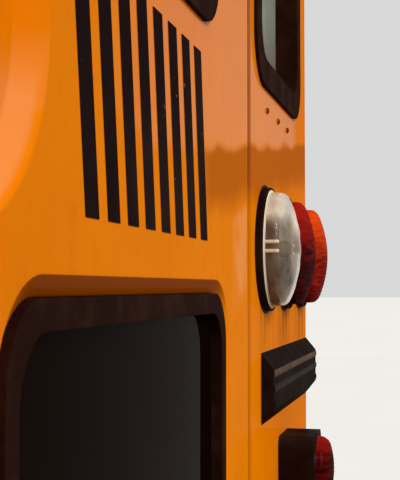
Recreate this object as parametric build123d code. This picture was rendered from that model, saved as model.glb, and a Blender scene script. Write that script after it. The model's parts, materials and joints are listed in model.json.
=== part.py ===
"""A full-size school bus with a hood: chassis, wheels, hollow body, doors, hatches and arms.

Millimetres. +X is forwards, +Y is the bus's left and +Z is up. The origin is on the ground,
under the middle of the bus's bounding box. Every (low, high) pair is a span along one axis.
"""

import os
from math import atan2, cos, hypot, radians, sin

from build123d import *

os.makedirs("parts", exist_ok=True)

# Overall sizes
LENGTH = 10900
BODY_WIDTH = 2440
ROOF_Z = 3080
SKIRT_Z = 480
TYRE_R = 510
FLOOR_Z = TYRE_R + 490  # the rear axle and its springs go below it
WHEELBASE = 6450
NOSE_TO_AXLE = 1000
NOSE_TO_COWL = 1550
REAR_BUMPER_DEPTH = 130

# Clearances
SEAT_GAP = 0.3  # a piece let into another, or a pin in its hole
SWING_GAP = 6  # round a door or lid that swings
LEAF_GAP = 14  # between the two entrance leaves, whose free edges swing towards each other

# Body shell
WALL = 45
FLOOR_THICK = 60
CORNER_R = 90
COWL_CORNER_R = 180
ROOF_CORNER_R = 640
ROOF_CROWN_R = 4000
ROOF_REAR_R = 280
ROOF_FRONT_R = 250
ROOF_SEAM_Z = 2440
COWL_Z = FLOOR_Z + 700
GLASS_TOP_Z = 2480
GLASS_RAKE_X = 420  # how far the windscreen leans back over its height
HEADER_LEAN_X = 80
CAB_LENGTH = 260  # cowl back to the front edge of the side walls
CAP_LENGTH = 600  # cowl back to the front edge of the roof

# Places that follow from the overall sizes
NOSE_X = LENGTH / 2
TAIL_X = -LENGTH / 2
REAR_X = TAIL_X + REAR_BUMPER_DEPTH
COWL_X = NOSE_X - NOSE_TO_COWL
FRONT_AXLE_X = NOSE_X - NOSE_TO_AXLE
REAR_AXLE_X = FRONT_AXLE_X - WHEELBASE
HALF = BODY_WIDTH / 2
INNER = HALF - WALL
CAB_X = COWL_X - CAB_LENGTH
CAP_X = COWL_X - CAP_LENGTH
FLOOR_LOW = FLOOR_Z - FLOOR_THICK
REAR_IN_X = REAR_X + WALL

# Wheels
TYRE_WIDTH = 270
TYRE_SHOULDER_R = 45
RIM_R = 288
RIM_WALL = 12
RIM_WIDTH = 232
FRONT_WHEEL_Y = 1020
REAR_TYRE_YS = (710, 1045)
ARCH_R = TYRE_R + 105
DISC_THICK = 14
HUB_R = 110
SPINDLE_R = 35
REAR_SPINDLE_R = 45

# Frame
RAIL_Y = (390, 470)
RAIL_HEIGHT = 254
RAIL_WEB = 10
RAIL_Z = (FLOOR_LOW - RAIL_HEIGHT, FLOOR_LOW)
RAIL_X = (REAR_X + 80, NOSE_X - 300)
CROSS_Z = (RAIL_Z[0] + 100, RAIL_Z[1] - 20)
CROSS_DEPTH = 70
CROSS_XS = [
    RAIL_X[0] + 100,
    REAR_AXLE_X - 900,
    REAR_AXLE_X + 900,
    (REAR_AXLE_X + FRONT_AXLE_X) / 2 - 400,
    FRONT_AXLE_X - 1400,
    RAIL_X[1] - 60,
]
BUMPER_Z = (TYRE_R - 40, TYRE_R + 220)
TOW_Z = TYRE_R - 80
TOW_R = 22
TOW_Y = (415, 445)

# Windows
SILL_Z = 1805
HEAD_Z = 2390
WINDOW_PITCH = 710
WINDOW_WIDTH = 640
WINDOW_CORNER_R = 40
FRAME_FACE = 28
FRAME_RECESS = 6
GLASS_THICK = 6
GLASS_DEPTH = 26
FIRST_WINDOW_GAP = 330  # rear face to the first window's edge
DRIVER_SILL_Z = COWL_Z - 50
DRIVER_WINDOW_X = (COWL_X - 960, COWL_X - 330)
GASKET_FACE = 42
GASKET_PROUD = 5
CORNER_WINDOW_R = 75
CORNER_GLASS_DEPTH = 36

# Entrance door, in the right wall
ENTRANCE_X = (COWL_X - 1020, COWL_X - 280)
ENTRANCE_Z = (520, 2390)
LEAF_THICK = 40
LEAF_STILE = 55
LEAF_BAR_Z = (1270, 1330)
HINGE_OUT = 12  # a hinge line stands this far outside the face it serves
STEP_Y = (SEAT_GAP - INNER, -960, -760)
STEP_ZS = (520, 760)
STEP_THICK = 20

# Rear emergency door
REAR_DOOR_HALF = 504
REAR_DOOR_Z = (985, 2500)
UPPER_WINDOW_HALF = REAR_DOOR_HALF - 216
LOWER_WINDOW_HALF = REAR_DOOR_HALF - 139
LOWER_WINDOW_Z = (1115, 1508)
LOWER_WINDOW_R = 80
BEVEL_WIDTH = 16
BEVEL_DEPTH = 8
LOWER_GASKET_FACE = 24
LOWER_GLASS_DEPTH = 14
POCKET_Y = (REAR_DOOR_HALF - 229, REAR_DOOR_HALF - 28)
POCKET_Z = (1531, 1776)
POCKET_BIG_R = 150
POCKET_SMALL_R = 45
POCKET_DEPTH = 22
POCKET_SLOPE = 16  # how far its walls lean in
HANDLE_Y = (REAR_DOOR_HALF - 96, REAR_DOOR_HALF - 64)
HANDLE_Z = (1590, 1745)
REAR_HINGE_ZS = (1100, 2000, 2420)
REAR_HINGE_LENGTH = 110
STRAP_LENGTH = 45

# Windows at the rear corners, between the door and the corner posts
CORNER_WINDOW_Y = (REAR_DOOR_HALF + 52, HALF - 185)

# Rear lamps, from the middle of the bus outwards
LAMP_Z = 1557
LAMP_YS = {"clear": 655, "red": 846, "amber": 1037}
LAMP_RING_R = 94.5
LAMP_RING_THICK = 8
LAMP_LENS_R = 89
LAMP_LENS_SIDE = 26
LAMP_DOME = 19
LOW_LAMP_Y = 836
LOW_LAMP_Z = 1197
LOW_HOUSING_WIDE = 124
LOW_HOUSING_TALL = 118
LOW_HOUSING_DEEP = 56
LOW_HOUSING_CORNER_R = 16
LOW_LENS_R = 55
LOW_LENS_SIDE = 10
LOW_LENS_DOME = 18
WARNING_Z = 2680
WARNING_YS = {"amber": 640, "red": 900}
WARNING_R = 89
WARNING_RING_R = 112
HOOD_LENGTH = 70

# Rub rails
RUB_TALL = 107
RUB_CROWN = 60
RUB_DEPTH = 19
RUB_SEAT_Z = 1347.5
RUB_FLOOR_Z = 960
RUB_SKIRT_Z = 590
RUB_END_Y = 610
RUB_ARCH_GAP = 60

# Hood and front end
HOOD_WALL = 12
HOOD_Z = BUMPER_Z[1] + 30
HOOD_X = (COWL_X + 12, NOSE_X - 200)
NOSE_HALF = (700, 560)  # at the cowl, at the grille
NOSE_TOP = (FLOOR_Z + 640, FLOOR_Z + 410)
NOSE_R = 150
FENDER_HALF = 1190
FENDER_Z = TYRE_R + ARCH_R + 110
FENDER_NOSE_R = 300
FENDER_CORNER_R = 240
GRILLE_HALF = 430
GRILLE_Z = (HOOD_Z + 120, HOOD_Z + 560)
GRILLE_BARS = 8
GRILLE_BAR = 16
GRILLE_DEPTH = 30
HEADLAMP_Y = 800
HEADLAMP_Z = FLOOR_Z + 10
HEADLAMP_R = 92
HEADLAMP_DEPTH = 40
BUMPER_DEPTH = 140
BUMPER_HALF = 1200
BUMPER_WALL = 10
HOOD_PIN_X = NOSE_X - 160
HOOD_PIN_Z = BUMPER_Z[1] + 47
HOOD_PIN_R = 10

# Roof hatches
HATCH_HALF = 310
HATCH_LIP = 14
HATCH_CURB_Z = ROOF_Z + 16
HATCH_LID_THICK = 34
LID_GAP = 5
HATCH_PIN_OUT = 26
HATCH_PIN_UP = 18
HATCH_PIN_R = 5
HATCH_EAR = 10
HATCH_HINGE_Y = 200
HATCH_XS = {"roof_hatch_rear": REAR_AXLE_X - 900, "roof_hatch_front": REAR_AXLE_X + 3200}

# Arms outside the body
STOP_X = COWL_X - 1040
STOP_Z = 1400
STOP_BLADE = 450  # across the flats
STOP_BLADE_THICK = 8
STOP_OUT = 42
STOP_ARM_Z = (1230, 1570)
PIN_R = 8
TUBE_R = 16
LUG_THICK = 12
CROSSING_Y = -1100
CROSSING_Z = (BUMPER_Z[0] + 105, BUMPER_Z[0] + 185)
CROSSING_LENGTH = 1740
CROSSING_ROD_R = 12

# Seats
SEAT_PITCH = 710
SEAT_WIDTH = 960
SEAT_DEPTH = 400
SEAT_CUSHION_Z = (FLOOR_Z + 290, FLOOR_Z + 430)
SEAT_BACK_TOP = FLOOR_Z + 1010
SEAT_BACK_THICK = 95
SEAT_LEAN = 70
AISLE_HALF = 200
SEAT_LEG = 30


def block(x, y, z):
    """A box between three (low, high) pairs."""
    middle = Pos(sum(x) / 2, sum(y) / 2, sum(z) / 2)
    return middle * Box(x[1] - x[0], y[1] - y[0], z[1] - z[0])


def rod(start, end, radius):
    """A round bar from one point to another."""
    start, end = Vector(*start), Vector(*end)
    return Solid.make_cylinder(radius, (end - start).length, Plane(start, z_dir=end - start))


def ring(x, y, z, radius, bore, reach, axis):
    """A round tube, centred at a point, whose length runs along X, Y or Z."""
    spins = {"X": Rot(0, 90, 0), "Y": Rot(90, 0, 0), "Z": Rot(0, 0, 0)}
    tube = Cylinder(radius, reach)
    if bore:
        tube -= Cylinder(bore, reach + 2)
    return Pos(x, y, z) * spins[axis] * tube


def mirrored(piece):
    """The same piece on the other side of the bus."""
    return mirror(piece, about=Plane.XZ)


def both_sides(*pieces):
    """Each piece with its twin on the other side."""
    return [twin for piece in pieces for twin in (piece, mirrored(piece))]


def side_panel(x, z, radius, y):
    """A rounded upright panel that faces sideways, between two values of y."""
    face = RectangleRounded(x[1] - x[0], z[1] - z[0], radius)
    solid = extrude(Plane.XZ * face, amount=y[1] - y[0])
    return Pos(sum(x) / 2, y[1], sum(z) / 2) * solid


def end_panel(y, z, radius, x):
    """A rounded upright panel that faces along the bus, between two values of x."""
    face = RectangleRounded(y[1] - y[0], z[1] - z[0], radius)
    solid = extrude(Plane.YZ * face, amount=x[1] - x[0])
    return Pos(x[0], sum(y) / 2, sum(z) / 2) * solid


def grow(span, by):
    """A (low, high) pair widened by the same amount at both ends."""
    return span[0] - by, span[1] + by


def fused(pieces):
    """Overlapping or touching pieces as one shape."""
    shape = pieces[0]
    for piece in pieces[1:]:
        shape += piece
    return shape


def save(name, *pieces):
    """Writes one node from its pieces."""
    solids = [solid for piece in pieces for solid in piece.solids()]
    export_step(Compound(solids), f"parts/{name}.step")


# Body shell: an end section, a side profile and a plan, crossed with each other
DEEP_Z = SKIRT_Z - 300
EASE = 0.5  # the section and the profile stand this far outside the plan, so their rounds cross it cleanly


def body_plan(inset):
    """The body seen from above, drawn in by inset, with rounded corners."""
    back, front = REAR_X + inset, COWL_X - inset
    plan = Pos((back + front) / 2, 0) * Rectangle(front - back, 2 * (HALF - inset))
    plan = fillet(plan.vertices().group_by(Axis.X)[0], CORNER_R - inset)
    return fillet(plan.vertices().group_by(Axis.X)[-1], COWL_CORNER_R - inset)


def envelope(inset):
    """The body's closed outer shape, drawn in by inset all round."""
    half, top, back, front = HALF - inset, ROOF_Z - inset, REAR_X + inset, COWL_X - inset
    section = Plane.YZ * (Pos(0, (top + DEEP_Z) / 2) * Rectangle(2 * half + 2 * EASE, top - DEEP_Z))
    section = fillet(section.vertices().group_by(Axis.Z)[-1], ROOF_CORNER_R - inset)
    section &= Plane.YZ * (Pos(0, ROOF_Z - ROOF_CROWN_R) * Circle(ROOF_CROWN_R - inset))

    # The windscreen and the header lean back, so each moves by more than inset along X
    glass_tall, header_tall = GLASS_TOP_Z - COWL_Z, ROOF_Z - GLASS_TOP_Z
    glass_lean, header_lean = GLASS_RAKE_X / glass_tall, HEADER_LEAN_X / header_tall
    glass_shift = inset * (hypot(1, glass_lean) - 1)
    header_shift = inset * (hypot(1, header_lean) - 1)
    cowl_top_z = COWL_Z - glass_shift / glass_lean
    glass_top_z = GLASS_TOP_Z - (glass_shift - header_shift) / (glass_lean - header_lean)
    glass_top_x = front + EASE - glass_shift - (glass_top_z - COWL_Z) * glass_lean
    header_top_x = glass_top_x - (top - glass_top_z) * header_lean
    outline = [
        (back - EASE, DEEP_Z),
        (back - EASE, top),
        (header_top_x, top),
        (glass_top_x, glass_top_z),
        (front + EASE, cowl_top_z),
        (front + EASE, DEEP_Z),
    ]
    profile = Plane.XZ * make_face(Polyline(*outline, close=True))
    profile = fillet(profile.vertices().group_by(Axis.Z)[-1].sort_by(Axis.X)[0], ROOF_REAR_R - inset)
    profile = fillet(profile.vertices().group_by(Axis.Z)[-1].sort_by(Axis.X)[-1], ROOF_FRONT_R - inset)
    shape = extrude(profile, amount=BODY_WIDTH, both=True)
    shape &= extrude(body_plan(inset), amount=2 * ROOF_Z, both=True)
    return shape & extrude(section, amount=LENGTH, both=True)


FAR = 2 * LENGTH
WIDE = (-FAR, FAR)
below_skirt = block(WIDE, WIDE, (-FAR, SKIRT_Z))
shell = envelope(0) - envelope(WALL) - below_skirt

wheel_arches = fused(
    [ring(axle_x, 0, TYRE_R, ARCH_R, 0, 3 * HALF, "Y") for axle_x in (FRONT_AXLE_X, REAR_AXLE_X)]
    + [
        block((axle_x - ARCH_R, axle_x + ARCH_R), (-1.5 * HALF, 1.5 * HALF), (0, TYRE_R))
        for axle_x in (FRONT_AXLE_X, REAR_AXLE_X)
    ]
)

# Side windows: as many as fit between the rear corner and the entrance door
window_run = ENTRANCE_X[0] - REAR_X - FIRST_WINDOW_GAP
WINDOW_COUNT = int(window_run // WINDOW_PITCH)
window_spans = []
for number in range(WINDOW_COUNT):
    window_start = REAR_X + FIRST_WINDOW_GAP + number * WINDOW_PITCH
    window_spans.append((window_start, window_start + WINDOW_WIDTH))


def side_frame(x, z):
    """A window's black frame with its middle bar, in the left wall."""
    deep = (INNER, HALF - FRAME_RECESS)
    rim = side_panel(grow(x, -SEAT_GAP), grow(z, -SEAT_GAP), WINDOW_CORNER_R, deep)
    inner_x, inner_z = grow(x, -FRAME_FACE), grow(z, -FRAME_FACE)
    rim -= side_panel(inner_x, inner_z, WINDOW_CORNER_R / 2, grow(deep, 1))
    middle = sum(z) / 2
    return rim + block(grow(x, -FRAME_FACE / 2), deep, (middle - FRAME_FACE / 2, middle + FRAME_FACE / 2))


def side_glass(x, z):
    """A window's two panes, above and below its middle bar, in the left wall."""
    middle = sum(z) / 2
    panes = [
        (z[0] + FRAME_FACE, middle - FRAME_FACE / 2),
        (middle + FRAME_FACE / 2, z[1] - FRAME_FACE),
    ]
    y = (HALF - GLASS_DEPTH - GLASS_THICK, HALF - GLASS_DEPTH)
    x = grow(x, -FRAME_FACE - SEAT_GAP)
    return [side_panel(x, grow(pane, -SEAT_GAP), WINDOW_CORNER_R / 2, y) for pane in panes]


left_spans = [(span, (SILL_Z, HEAD_Z)) for span in window_spans]
right_spans = list(left_spans)
left_spans.append((DRIVER_WINDOW_X, (DRIVER_SILL_Z, HEAD_Z)))

wall_span = (REAR_X + CORNER_R + 5, CAB_X)
left_wall = shell & block(wall_span, (INNER, FAR), (0, ROOF_SEAM_Z))
right_wall = shell & block(wall_span, (-FAR, -INNER), (0, ROOF_SEAM_Z))
left_wall -= wheel_arches
right_wall -= wheel_arches
for span, heights in left_spans:
    left_wall -= side_panel(span, heights, WINDOW_CORNER_R, (0, FAR))
for span, heights in right_spans:
    right_wall -= side_panel(span, heights, WINDOW_CORNER_R, (-FAR, 0))
right_wall -= block(ENTRANCE_X, (-FAR, 0), ENTRANCE_Z)

window_frames = [side_frame(span, heights) for span, heights in left_spans]
window_frames += [mirrored(side_frame(span, heights)) for span, heights in right_spans]
window_glass = [pane for span, heights in left_spans for pane in side_glass(span, heights)]
for span, heights in right_spans:
    window_glass += [mirrored(pane) for pane in side_glass(span, heights)]

# Windscreen, in the leaning part of the cab front
SCREEN_HALF = 1050
SCREEN_Z = (COWL_Z + 70, GLASS_TOP_Z - 50)
SCREEN_SEAL = 35
screen_x = (CAP_X, COWL_X + 50)
screen_hole = block(screen_x, (-SCREEN_HALF, SCREEN_HALF), SCREEN_Z)
screen_inner = block(
    screen_x, grow((-SCREEN_HALF, SCREEN_HALF), -SCREEN_SEAL), grow(SCREEN_Z, -SCREEN_SEAL)
)
screen_fit = block(
    screen_x, grow((-SCREEN_HALF, SCREEN_HALF), -SEAT_GAP), grow(SCREEN_Z, -SEAT_GAP)
)
screen_seal = (envelope(-GASKET_PROUD) - envelope(WALL)) & screen_fit
screen_seal -= screen_inner
screen_pane_fit = block(
    screen_x,
    grow((-SCREEN_HALF, SCREEN_HALF), -SCREEN_SEAL - SEAT_GAP),
    grow(SCREEN_Z, -SCREEN_SEAL - SEAT_GAP),
)
screen_pane = (envelope(GLASS_DEPTH) - envelope(GLASS_DEPTH + GLASS_THICK)) & screen_pane_fit

# Cab front, rear wall and roof
RAIL_NOTCH = 110
cab_front = shell & (
    block((CAB_X, FAR), WIDE, (0, ROOF_SEAM_Z))
    + block((CAP_X, FAR), WIDE, (ROOF_SEAM_Z, FAR))
    + block((CAP_X, FAR), (-INNER, INNER), (0, FAR))
)
cab_front -= screen_hole
cab_front -= wheel_arches
cab_front -= block((CAB_X, FAR), (RAIL_NOTCH - HALF, HALF - RAIL_NOTCH), (0, FLOOR_LOW))

ROOF_CAP_X = REAR_X + ROOF_REAR_R + 40
REAR_WALL_LOW = RAIL_Z[0] + 14
rear_wall = shell & (
    block((-FAR, wall_span[0]), WIDE, (0, ROOF_SEAM_Z)) + block((-FAR, ROOF_CAP_X), WIDE, (ROOF_SEAM_Z, FAR))
)
rear_wall -= block((-FAR, REAR_IN_X + 5), (-HALF + 2 * CORNER_R, HALF - 2 * CORNER_R), (0, REAR_WALL_LOW))
door_half = REAR_DOOR_HALF - SWING_GAP / 2
hole_half = REAR_DOOR_HALF + SWING_GAP / 2
through_rear = (REAR_X - 50, REAR_IN_X + 5)
rear_wall -= block(through_rear, (-hole_half, hole_half), grow(REAR_DOOR_Z, SWING_GAP))
corner_z = (SILL_Z, HEAD_Z)
for window in both_sides(end_panel(CORNER_WINDOW_Y, corner_z, CORNER_WINDOW_R, through_rear)):
    rear_wall -= window

roof = shell & block((ROOF_CAP_X, CAP_X), WIDE, (ROOF_SEAM_Z, FAR))
lids = {}
for name, x in HATCH_XS.items():
    hatch_x = (x - HATCH_HALF, x + HATCH_HALF)
    hatch_y = (-HATCH_HALF, HATCH_HALF)
    curb_z = (ROOF_Z - WALL - 5, HATCH_CURB_Z)
    roof += block(hatch_x, hatch_y, curb_z)
    roof -= block(grow(hatch_x, -WALL / 2), grow(hatch_y, -WALL / 2), grow(curb_z, 20))
    lid_z = (HATCH_CURB_Z + LID_GAP, HATCH_CURB_Z + HATCH_LID_THICK)
    lid = block(grow(hatch_x, HATCH_LIP), grow(hatch_y, HATCH_LIP), lid_z)
    pin_x, pin_z = hatch_x[1] + HATCH_PIN_OUT, HATCH_CURB_Z + HATCH_PIN_UP
    for y in (-HATCH_HINGE_Y, HATCH_HINGE_Y):
        for lug_y in ((y - 22, y - 12), (y + 12, y + 22)):
            roof += block((hatch_x[1] - 5, pin_x + HATCH_EAR), lug_y, (ROOF_Z - WALL / 2, pin_z + HATCH_EAR))
            lid -= block((hatch_x[1] - 10, pin_x + HATCH_EAR), grow(lug_y, 5), grow(lid_z, 5))
        roof += rod((pin_x, y - 22, pin_z), (pin_x, y + 22, pin_z), HATCH_PIN_R)
        lid += block((hatch_x[1] - 12, pin_x + HATCH_EAR), (y - 7, y + 7), grow((pin_z, pin_z), HATCH_EAR))
        lid -= rod((pin_x, y - 10, pin_z), (pin_x, y + 10, pin_z), HATCH_PIN_R + SEAT_GAP)
    lids[name] = lid

save("roof", roof)
for name, lid in lids.items():
    save(name, lid)


def gasket(y, z, radius, face, x):
    """A rubber ring let into a wall or door that faces backwards."""
    outer = end_panel(grow(y, -SEAT_GAP), grow(z, -SEAT_GAP), radius, x)
    return outer - end_panel(grow(y, -face), grow(z, -face), radius - face / 2, grow(x, 5))


def rear_pane(y, z, radius, face, depth):
    """The glass inside such a ring."""
    x = (REAR_X + depth, REAR_X + depth + GLASS_THICK)
    by = -face - SEAT_GAP
    return end_panel(grow(y, by), grow(z, by), radius - face / 2, x)


gasket_x = (REAR_X - GASKET_PROUD, REAR_IN_X)
corner_gasket = gasket(CORNER_WINDOW_Y, corner_z, CORNER_WINDOW_R, GASKET_FACE, gasket_x)
corner_pane = rear_pane(CORNER_WINDOW_Y, corner_z, CORNER_WINDOW_R, GASKET_FACE, CORNER_GLASS_DEPTH)
save("window_frames", *window_frames, *both_sides(corner_gasket), screen_seal)
save("window_glass", *window_glass, *both_sides(corner_pane), screen_pane)

# Rear emergency door, hinged on the bus's right
door_x = (REAR_X, REAR_IN_X)
rear_door = block(door_x, (-door_half, door_half), REAR_DOOR_Z)
upper_y = (-UPPER_WINDOW_HALF, UPPER_WINDOW_HALF)
rear_door -= end_panel(upper_y, corner_z, CORNER_WINDOW_R, through_rear)
lower_y = (-LOWER_WINDOW_HALF, LOWER_WINDOW_HALF)
lower_in_y = grow(lower_y, -BEVEL_WIDTH)
lower_in_z = grow(LOWER_WINDOW_Z, -BEVEL_WIDTH)
lower_in_r = LOWER_WINDOW_R - BEVEL_WIDTH
rear_door -= end_panel(lower_in_y, lower_in_z, lower_in_r, through_rear)


def bevel_face(y, z, radius, x):
    """One end of the bevel round the lower window."""
    face = Plane.YZ * RectangleRounded(y[1] - y[0], z[1] - z[0], radius)
    return Pos(x, sum(y) / 2, sum(z) / 2) * face


bevel = loft([
    bevel_face(lower_y, LOWER_WINDOW_Z, LOWER_WINDOW_R, REAR_X),
    bevel_face(lower_in_y, lower_in_z, lower_in_r, REAR_X + BEVEL_DEPTH),
])
rear_door -= bevel

pocket_corners = [
    (POCKET_Y[0], POCKET_Z[0]),
    (POCKET_Y[1], POCKET_Z[0]),
    (POCKET_Y[1], POCKET_Z[1]),
    (POCKET_Y[0], POCKET_Z[1]),
]
pocket = make_face(Polyline(*pocket_corners, close=True))
low_right = pocket.vertices().sort_by(lambda v: v.X + v.Y)[0]
pocket = fillet(low_right, POCKET_BIG_R)
others = pocket.vertices().filter_by(lambda v: v.X > POCKET_Y[1] - 1 or v.Y > POCKET_Z[1] - 1)
others = others.filter_by(lambda v: v.X < POCKET_Y[0] + 1 or v.X > POCKET_Y[1] - 1)
pocket = fillet(others, POCKET_SMALL_R)
pocket_mouth = Plane.YZ * pocket
pocket_bed = Plane.YZ * offset(pocket, -POCKET_SLOPE)
rear_door -= loft([Pos(REAR_X, 0, 0) * pocket_mouth, Pos(REAR_X + POCKET_DEPTH, 0, 0) * pocket_bed])

hinge_x = REAR_X - HINGE_OUT
hinge_y = -REAR_DOOR_HALF
KNUCKLE_R = 11
wall_hinges = []
for z in REAR_HINGE_ZS:
    mid = (z - REAR_HINGE_LENGTH / 6, z + REAR_HINGE_LENGTH / 6)
    strap_x = (hinge_x - 3, REAR_X)
    rear_door += block(strap_x, (hinge_y, hinge_y + STRAP_LENGTH), mid)
    rear_door += ring(hinge_x, hinge_y, z, KNUCKLE_R, 0, mid[1] - mid[0], "Z")
    rear_door -= ring(hinge_x, hinge_y, z, PIN_R / 2 + SEAT_GAP, 0, REAR_HINGE_LENGTH, "Z")
    ends = [
        (z - REAR_HINGE_LENGTH / 2, mid[0] - 1),
        (mid[1] + 1, z + REAR_HINGE_LENGTH / 2),
    ]
    leaf = rod((hinge_x, hinge_y, ends[0][0]), (hinge_x, hinge_y, ends[1][1]), PIN_R / 2)
    for end in ends:
        leaf += rod((hinge_x, hinge_y, end[0]), (hinge_x, hinge_y, end[1]), KNUCKLE_R)
        leaf += block(strap_x, (hinge_y - STRAP_LENGTH, hinge_y), end)
    wall_hinges.append(leaf)
save("rear_wall", fused([rear_wall, *wall_hinges]))
save("rear_door", rear_door)

upper_gasket = gasket(upper_y, corner_z, CORNER_WINDOW_R, GASKET_FACE, gasket_x)
lower_gasket = gasket(lower_in_y, lower_in_z, lower_in_r, LOWER_GASKET_FACE, door_x)
save("rear_door_gaskets", upper_gasket, lower_gasket)
upper_pane = rear_pane(upper_y, corner_z, CORNER_WINDOW_R, GASKET_FACE, CORNER_GLASS_DEPTH)
lower_pane = rear_pane(lower_in_y, lower_in_z, lower_in_r, LOWER_GASKET_FACE, LOWER_GLASS_DEPTH)
save("rear_door_glass", upper_pane, lower_pane)

# The lever stands in its pocket on a round boss
HANDLE_THICK = 12
HANDLE_BOSS_R = 16
pocket_floor = REAR_X + POCKET_DEPTH
handle_x = (REAR_X - 4, REAR_X - 4 + HANDLE_THICK)
handle = block(handle_x, HANDLE_Y, HANDLE_Z)
boss_y = sum(HANDLE_Y) / 2
boss_z = HANDLE_Z[1] - HANDLE_BOSS_R
handle += rod((handle_x[0], boss_y, boss_z), (pocket_floor, boss_y, boss_z), HANDLE_BOSS_R)
save("rear_door_handle", handle)

# Floor: a main plate with a wheelhouse over each pair of rear tyres, a plate in the cab, and the
# pan that holds the entrance steps
HOUSE_TOP = 2 * TYRE_R + 110
HOUSE_X = (REAR_AXLE_X - TYRE_R - 80, REAR_AXLE_X + TYRE_R + 80)
HOUSE_Y = (REAR_TYRE_YS[0] - TYRE_WIDTH / 2 - 35, INNER - SEAT_GAP)
HOUSE_WALL = 10
floor = Pos(0, 0, FLOOR_LOW) * extrude(body_plan(WALL + SEAT_GAP), amount=FLOOR_THICK)
house_out = block(HOUSE_X, HOUSE_Y, (FLOOR_LOW, HOUSE_TOP))
house_in = block(
    grow(HOUSE_X, -HOUSE_WALL), (HOUSE_Y[0] + HOUSE_WALL, FAR), (0, HOUSE_TOP - HOUSE_WALL)
)
for piece in both_sides(house_out):
    floor += piece
for piece in both_sides(house_in):
    floor -= piece
well_z = (STEP_ZS[0] - STEP_THICK, FLOOR_Z)
well = block(ENTRANCE_X, (STEP_Y[0], STEP_Y[2]), well_z)
well_lining = block(grow(ENTRANCE_X, STEP_THICK), (STEP_Y[0], STEP_Y[2] + STEP_THICK), well_z)
floor -= well_lining
step_pan = well_lining - well
for low_y, high_y, z in zip(STEP_Y[:-1], STEP_Y[1:], STEP_ZS):
    step_pan += block(ENTRANCE_X, (low_y, high_y), (z - STEP_THICK, z))
step_pan += block(ENTRANCE_X, (STEP_Y[1], STEP_Y[1] + STEP_THICK), (well_z[0], STEP_ZS[1]))
plate_joint_x = ENTRANCE_X[0] - STEP_THICK
main_plate = floor & block((-FAR, plate_joint_x), WIDE, (0, FAR))
cab_plate = floor & block((plate_joint_x, FAR), WIDE, (0, FAR))
save("floor", main_plate, cab_plate, step_pan)


# Entrance door: two leaves, each hinged at its own jamb
def leaf_pieces(x, hinge_at):
    """One leaf with its two panes. hinge_at is the x of the jamb that carries it."""
    y = (-HALF, LEAF_THICK - HALF)
    z = grow(ENTRANCE_Z, -SWING_GAP)
    leaf = block(x, y, z)
    panes = []
    for pane_z in ((z[0] + LEAF_STILE, LEAF_BAR_Z[0]), (LEAF_BAR_Z[1], z[1] - LEAF_STILE)):
        pane_x = grow(x, -LEAF_STILE)
        leaf -= side_panel(pane_x, pane_z, FRAME_FACE, grow(y, 5))
        glass_y = (GLASS_DEPTH - GLASS_THICK - HALF, GLASS_DEPTH - HALF)
        panes.append(side_panel(grow(pane_x, -SEAT_GAP), grow(pane_z, -SEAT_GAP), FRAME_FACE, glass_y))
    toward = 1 if hinge_at > sum(x) / 2 else -1
    pin = (hinge_at, -HALF - HINGE_OUT)
    hinges = []
    for hinge_z in (z[0] + 160, z[1] - 160):
        mid = (hinge_z - REAR_HINGE_LENGTH / 6, hinge_z + REAR_HINGE_LENGTH / 6)
        strap = sorted((pin[0], pin[0] - toward * STRAP_LENGTH))
        leaf += block(strap, (pin[1] - 3, -HALF), mid)
        leaf += rod((*pin, mid[0]), (*pin, mid[1]), KNUCKLE_R)
        leaf -= rod((*pin, mid[0] - 20), (*pin, mid[1] + 20), PIN_R / 2 + SEAT_GAP)
        low, high = hinge_z - REAR_HINGE_LENGTH / 2, hinge_z + REAR_HINGE_LENGTH / 2
        hinge = rod((*pin, low), (*pin, high), PIN_R / 2)
        for end in ((low, mid[0] - 1), (mid[1] + 1, high)):
            hinge += rod((*pin, end[0]), (*pin, end[1]), KNUCKLE_R)
            hinge += block(sorted((pin[0], pin[0] + toward * STRAP_LENGTH)), (pin[1] - 3, -HALF), end)
        hinges.append(hinge)
    return leaf, panes, hinges


middle_x = sum(ENTRANCE_X) / 2
front_leaf_x = (middle_x + LEAF_GAP / 2, ENTRANCE_X[1] - SWING_GAP / 2)
rear_leaf_x = (ENTRANCE_X[0] + SWING_GAP / 2, middle_x - LEAF_GAP / 2)
front_leaf, front_panes, front_hinges = leaf_pieces(front_leaf_x, ENTRANCE_X[1])
rear_leaf, rear_panes, rear_hinges = leaf_pieces(rear_leaf_x, ENTRANCE_X[0])
save("entrance_leaf_front", front_leaf)
save("entrance_leaf_rear", rear_leaf)
save("entrance_glass_front", *front_panes)
save("entrance_glass_rear", *rear_panes)
save("right_side_wall", fused([right_wall, *front_hinges, *rear_hinges]))
save("cab_front", cab_front)

# Rub rails: a strip with sloping edges along each side; the upper ones turn the rear corners
rub_slope = (RUB_TALL - RUB_CROWN) / 2


def rub_section():
    """The rail's section, with its back on x = 0 and its height along y."""
    corners = [
        (0, -RUB_TALL / 2),
        (RUB_DEPTH, -RUB_CROWN / 2),
        (RUB_DEPTH, RUB_CROWN / 2),
        (0, RUB_TALL / 2),
    ]
    return make_face(Polyline(*corners, close=True))


def straight_rail(x, z):
    """A length of rail on the left side."""
    placed = Plane((x[0], HALF, z), x_dir=(0, 1, 0), z_dir=(1, 0, 0)) * rub_section()
    return extrude(placed, amount=x[1] - x[0])


def turned_rail(front_x, end_y, z):
    """A rail that runs along the left side, turns the rear corner and stops on the rear wall."""
    turn = (REAR_X + CORNER_R, HALF - CORNER_R)
    side = straight_rail((turn[0], front_x), z)
    rear_plane = Plane((REAR_X, turn[1], z), x_dir=(-1, 0, 0), z_dir=(0, -1, 0))
    rear = extrude(rear_plane * rub_section(), amount=turn[1] - end_y)
    start = Plane((turn[0], HALF, z), x_dir=(0, 1, 0), z_dir=(1, 0, 0)) * rub_section()
    bend = revolve(start, Axis((*turn, 0), (0, 0, 1)), 90)
    return side + bend + rear


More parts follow.
